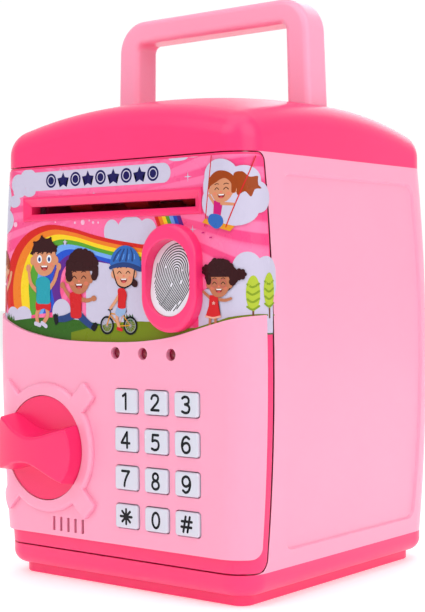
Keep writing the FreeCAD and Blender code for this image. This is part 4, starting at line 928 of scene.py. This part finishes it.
def swing():
    """A child on a rope swing in front of a cloud."""
    art = Print("art_child_swing")
    skin = SKIN[0]
    cloud(art, [(51, 152.5, 6.6, 5.6), (47.4, 148.4, 3.6, 6), (59.5, 150.2, 6.2, 5.4), (64.5, 144.5, 5, 5.6),
                (57, 140.5, 8, 6), (46.8, 143, 3.6, 5)])
    art.blob([(56.2, 152.6), (59, 153.4), (61.4, 151.6), (64.4, 151.8), (64, 149.4), (65.8, 147.6),
              (63.4, 147.2), (62, 144.6), (60, 146.4), (57.6, 145.2), (57, 148)], AUBURN)
    art.ribbon([(47.6, 159.4), (45.8, 146), (44.4, 134.6)], 0.42, RED, smooth=False)
    art.ribbon([(46.6, 145.4), (48.8, 142.4)], 1.2, skin, 1.1)
    art.face([(48.6, 143.6), (52.6, 143.2), (51.6, 138.2), (48.2, 138.6)], MAGENTA)
    art.ribbon([(52, 142.4), (56.4, 142)], 1.2, skin, 1.0)
    art.face([(43.2, 136), (55.2, 132.6), (56.8, 134.4), (44.6, 137.4)], GOLD)
    art.blob([(47, 138.8), (51.6, 138.2), (52.6, 135.4), (49.6, 133.6), (46, 136)], BLUE)
    face(art, 51.8, 147.6, 4.7, skin)
    art.blob([(46.2, 147.6), (46.6, 151.4), (50, 153.8), (54.2, 153.4), (57, 150.6), (57, 146.6),
              (55.6, 146.2), (55.4, 149.4), (53, 151.2), (49.4, 149.8), (47.4, 148.8)], AUBURN)
    art.ribbon([(63.6, 159.0), (58.4, 146), (53.6, 134)], 0.42, RED, smooth=False)
    for x, z in ((43, 132.4), (46.4, 130.6)):
        art.ribbon([(x, z), (x + 1.2, z + 0.1)], 0.5, MAGENTA)
    art.finish()


sky_pictures()
title_strip()
rainbow()
ground()
trees()
peeping_child()
waving_child()
running_child()
cycling_child()
girl_in_dress()
swing()


# ---------------------------------------------------------------- fingerprint and key marks

WINDOW_RIM = 0.00075         # the printed face starts this much above the window's flange
WINDOW_LEAN = 4.7 / 27.3
RIDGES = 24
RIDGE_PITCH = 0.82
RIDGE_W = 0.4
TAIL = 22                    # how far the ridges run on below the core
PRINT_OVAL = (8.6, 12.4)
GAP_CHANCE = 0.008


def ridge_drift(depth):
    """How far a ridge has moved to the left at a depth below the core."""
    return 0.1 * depth + 0.028 * depth ** 2


def fingerprint():
    """Nested loops round a core that run off down to the left, inside an oval, on the leaning window."""
    low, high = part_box("fingerprint_window")
    foot = low.z + WINDOW_RIM
    middle = (low + high) / 2 / MM
    Print.level = 0
    art = Print("fingerprint_lines")
    core_x, core_z = middle.x + 1.2, middle.z + 2.6
    wide, tall = PRINT_OVAL
    dice = random.Random(11)
    for k in range(RIDGES):
        r = 0.35 + RIDGE_PITCH * k
        left = [(core_x - r - ridge_drift(d), core_z - d) for d in range(TAIL, 0, -1)]
        over = [(core_x + r * math.cos(a), core_z + r * 1.16 * math.sin(a))
                for a in (math.pi * (1 - i / 30) for i in range(31))]
        right = [(core_x + r - ridge_drift(d), core_z - d) for d in range(1, TAIL)]
        line = curve_through(left + over + right, steps=3)
        run = []
        rest = 0
        for p in line + [Vector((0, 0))]:
            inside = ((p.x - middle.x) / wide) ** 2 + ((p.y - middle.z - 0.4) / tall) ** 2 < 1
            if dice.random() < GAP_CHANCE:
                rest = 3
            if inside and rest == 0:
                run.append(p)
                continue
            rest = max(rest - 1, 0)
            if len(run) > 4:
                art.ribbon(run, RIDGE_W, BLACK, smooth=False)
            run = []
    art.finish(surface=lambda p, lift: Vector((p[0], low.y + (p[1] - foot) * WINDOW_LEAN - lift, p[1])),
               top=None)


STROKE = 0.98                # width of the digits' strokes
BOWL = [(1.5, 2.2), (0.3, 2.85), (-1.0, 2.2), (-1.75, 0.5), (-1.75, -1.1), (-1.0, -2.5), (0.2, -2.85),
        (1.4, -2.2), (1.75, -0.9), (1.2, 0.3), (0.1, 0.65), (-1.1, 0.2), (-1.65, -0.7)]
CURVES = {
    "1": [],
    "2": [[(-1.6, 1.5), (-1.1, 2.5), (0.1, 2.85), (1.3, 2.4), (1.6, 1.3), (1.0, 0.1), (-0.6, -1.5),
           (-1.7, -2.6)]],
    "3": [[(-1.5, 2.3), (-0.5, 2.85), (0.8, 2.7), (1.5, 1.8), (1.1, 0.6), (-0.3, 0.2)],
          [(-0.3, 0.2), (1.2, -0.2), (1.75, -1.2), (1.2, -2.5), (-0.2, -2.85), (-1.6, -2.4)]],
    "5": [[(-1.3, 0.3), (-0.1, 0.65), (1.2, 0.3), (1.7, -0.9), (1.2, -2.3), (-0.2, -2.85), (-1.6, -2.4)]],
    "6": [BOWL],
    "7": [[(1.7, 2.6), (0.5, 0.8), (-0.4, -1.2), (-0.7, -2.85)]],
    "9": [[(-x, -z) for x, z in BOWL]],
}
STRAIGHTS = {
    "1": [((-1.1, 1.9), (0.3, 2.8)), ((0.3, 2.8), (0.3, -2.85))],
    "2": [((-1.7, -2.6), (1.8, -2.6))],
    "4": [((0.8, 2.8), (0.8, -2.85)), ((0.7, 2.7), (-1.9, -1.1)), ((-1.9, -1.2), (2.0, -1.2))],
    "5": [((1.5, 2.6), (-1.1, 2.6)), ((-1.1, 2.6), (-1.3, 0.3))],
    "7": [((-1.8, 2.6), (1.7, 2.6))],
    "star": [((2.7 * math.cos(a), 2.7 * math.sin(a)), (-2.7 * math.cos(a), -2.7 * math.sin(a)))
             for a in (0, math.pi / 4, math.pi / 2, 3 * math.pi / 4)],
    "hash": [((-1.5, -2.7), (-0.4, 2.7)), ((0.4, -2.7), (1.5, 2.7)), ((-2.2, 1.0), (2.4, 1.0)),
             ((-2.4, -1.0), (2.2, -1.0))],
}
RINGS = {"0": [(0, 0, 1.65, 2.75)], "8": [(0, 1.55, 1.25, 1.3), (0, -1.4, 1.6, 1.5)]}


def key_mark(name):
    """The sign in the middle of one key's face, drawn in even strokes with round ends."""
    low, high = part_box("key_" + name)
    x0 = (low.x + high.x) / 2 / MM
    z0 = (low.z + high.z) / 2 / MM
    Print.level = 0
    art = Print("sign_" + name)
    for line in CURVES.get(name, []):
        art.ribbon([(x0 + x, z0 + z) for x, z in line], STROKE, BLACK)
    for line in STRAIGHTS.get(name, []):
        art.ribbon([(x0 + x, z0 + z) for x, z in line], STROKE, BLACK, smooth=False)
    for x, z, rx, rz in RINGS.get(name, []):
        turn = [(x0 + x + rx * math.cos(math.tau * i / 36), z0 + z + rz * math.sin(math.tau * i / 36))
                for i in range(37)]
        art.ribbon(turn, STROKE, BLACK, smooth=False)
    art.finish(surface=lambda p, lift: Vector((p[0], low.y - lift, p[1])), body="key_" + name + "_cap",
               top=None)


fingerprint()
for key_name in [n[4:] for n in NODES if n.startswith("key_") and n != "key_mat"]:
    key_mark(key_name)
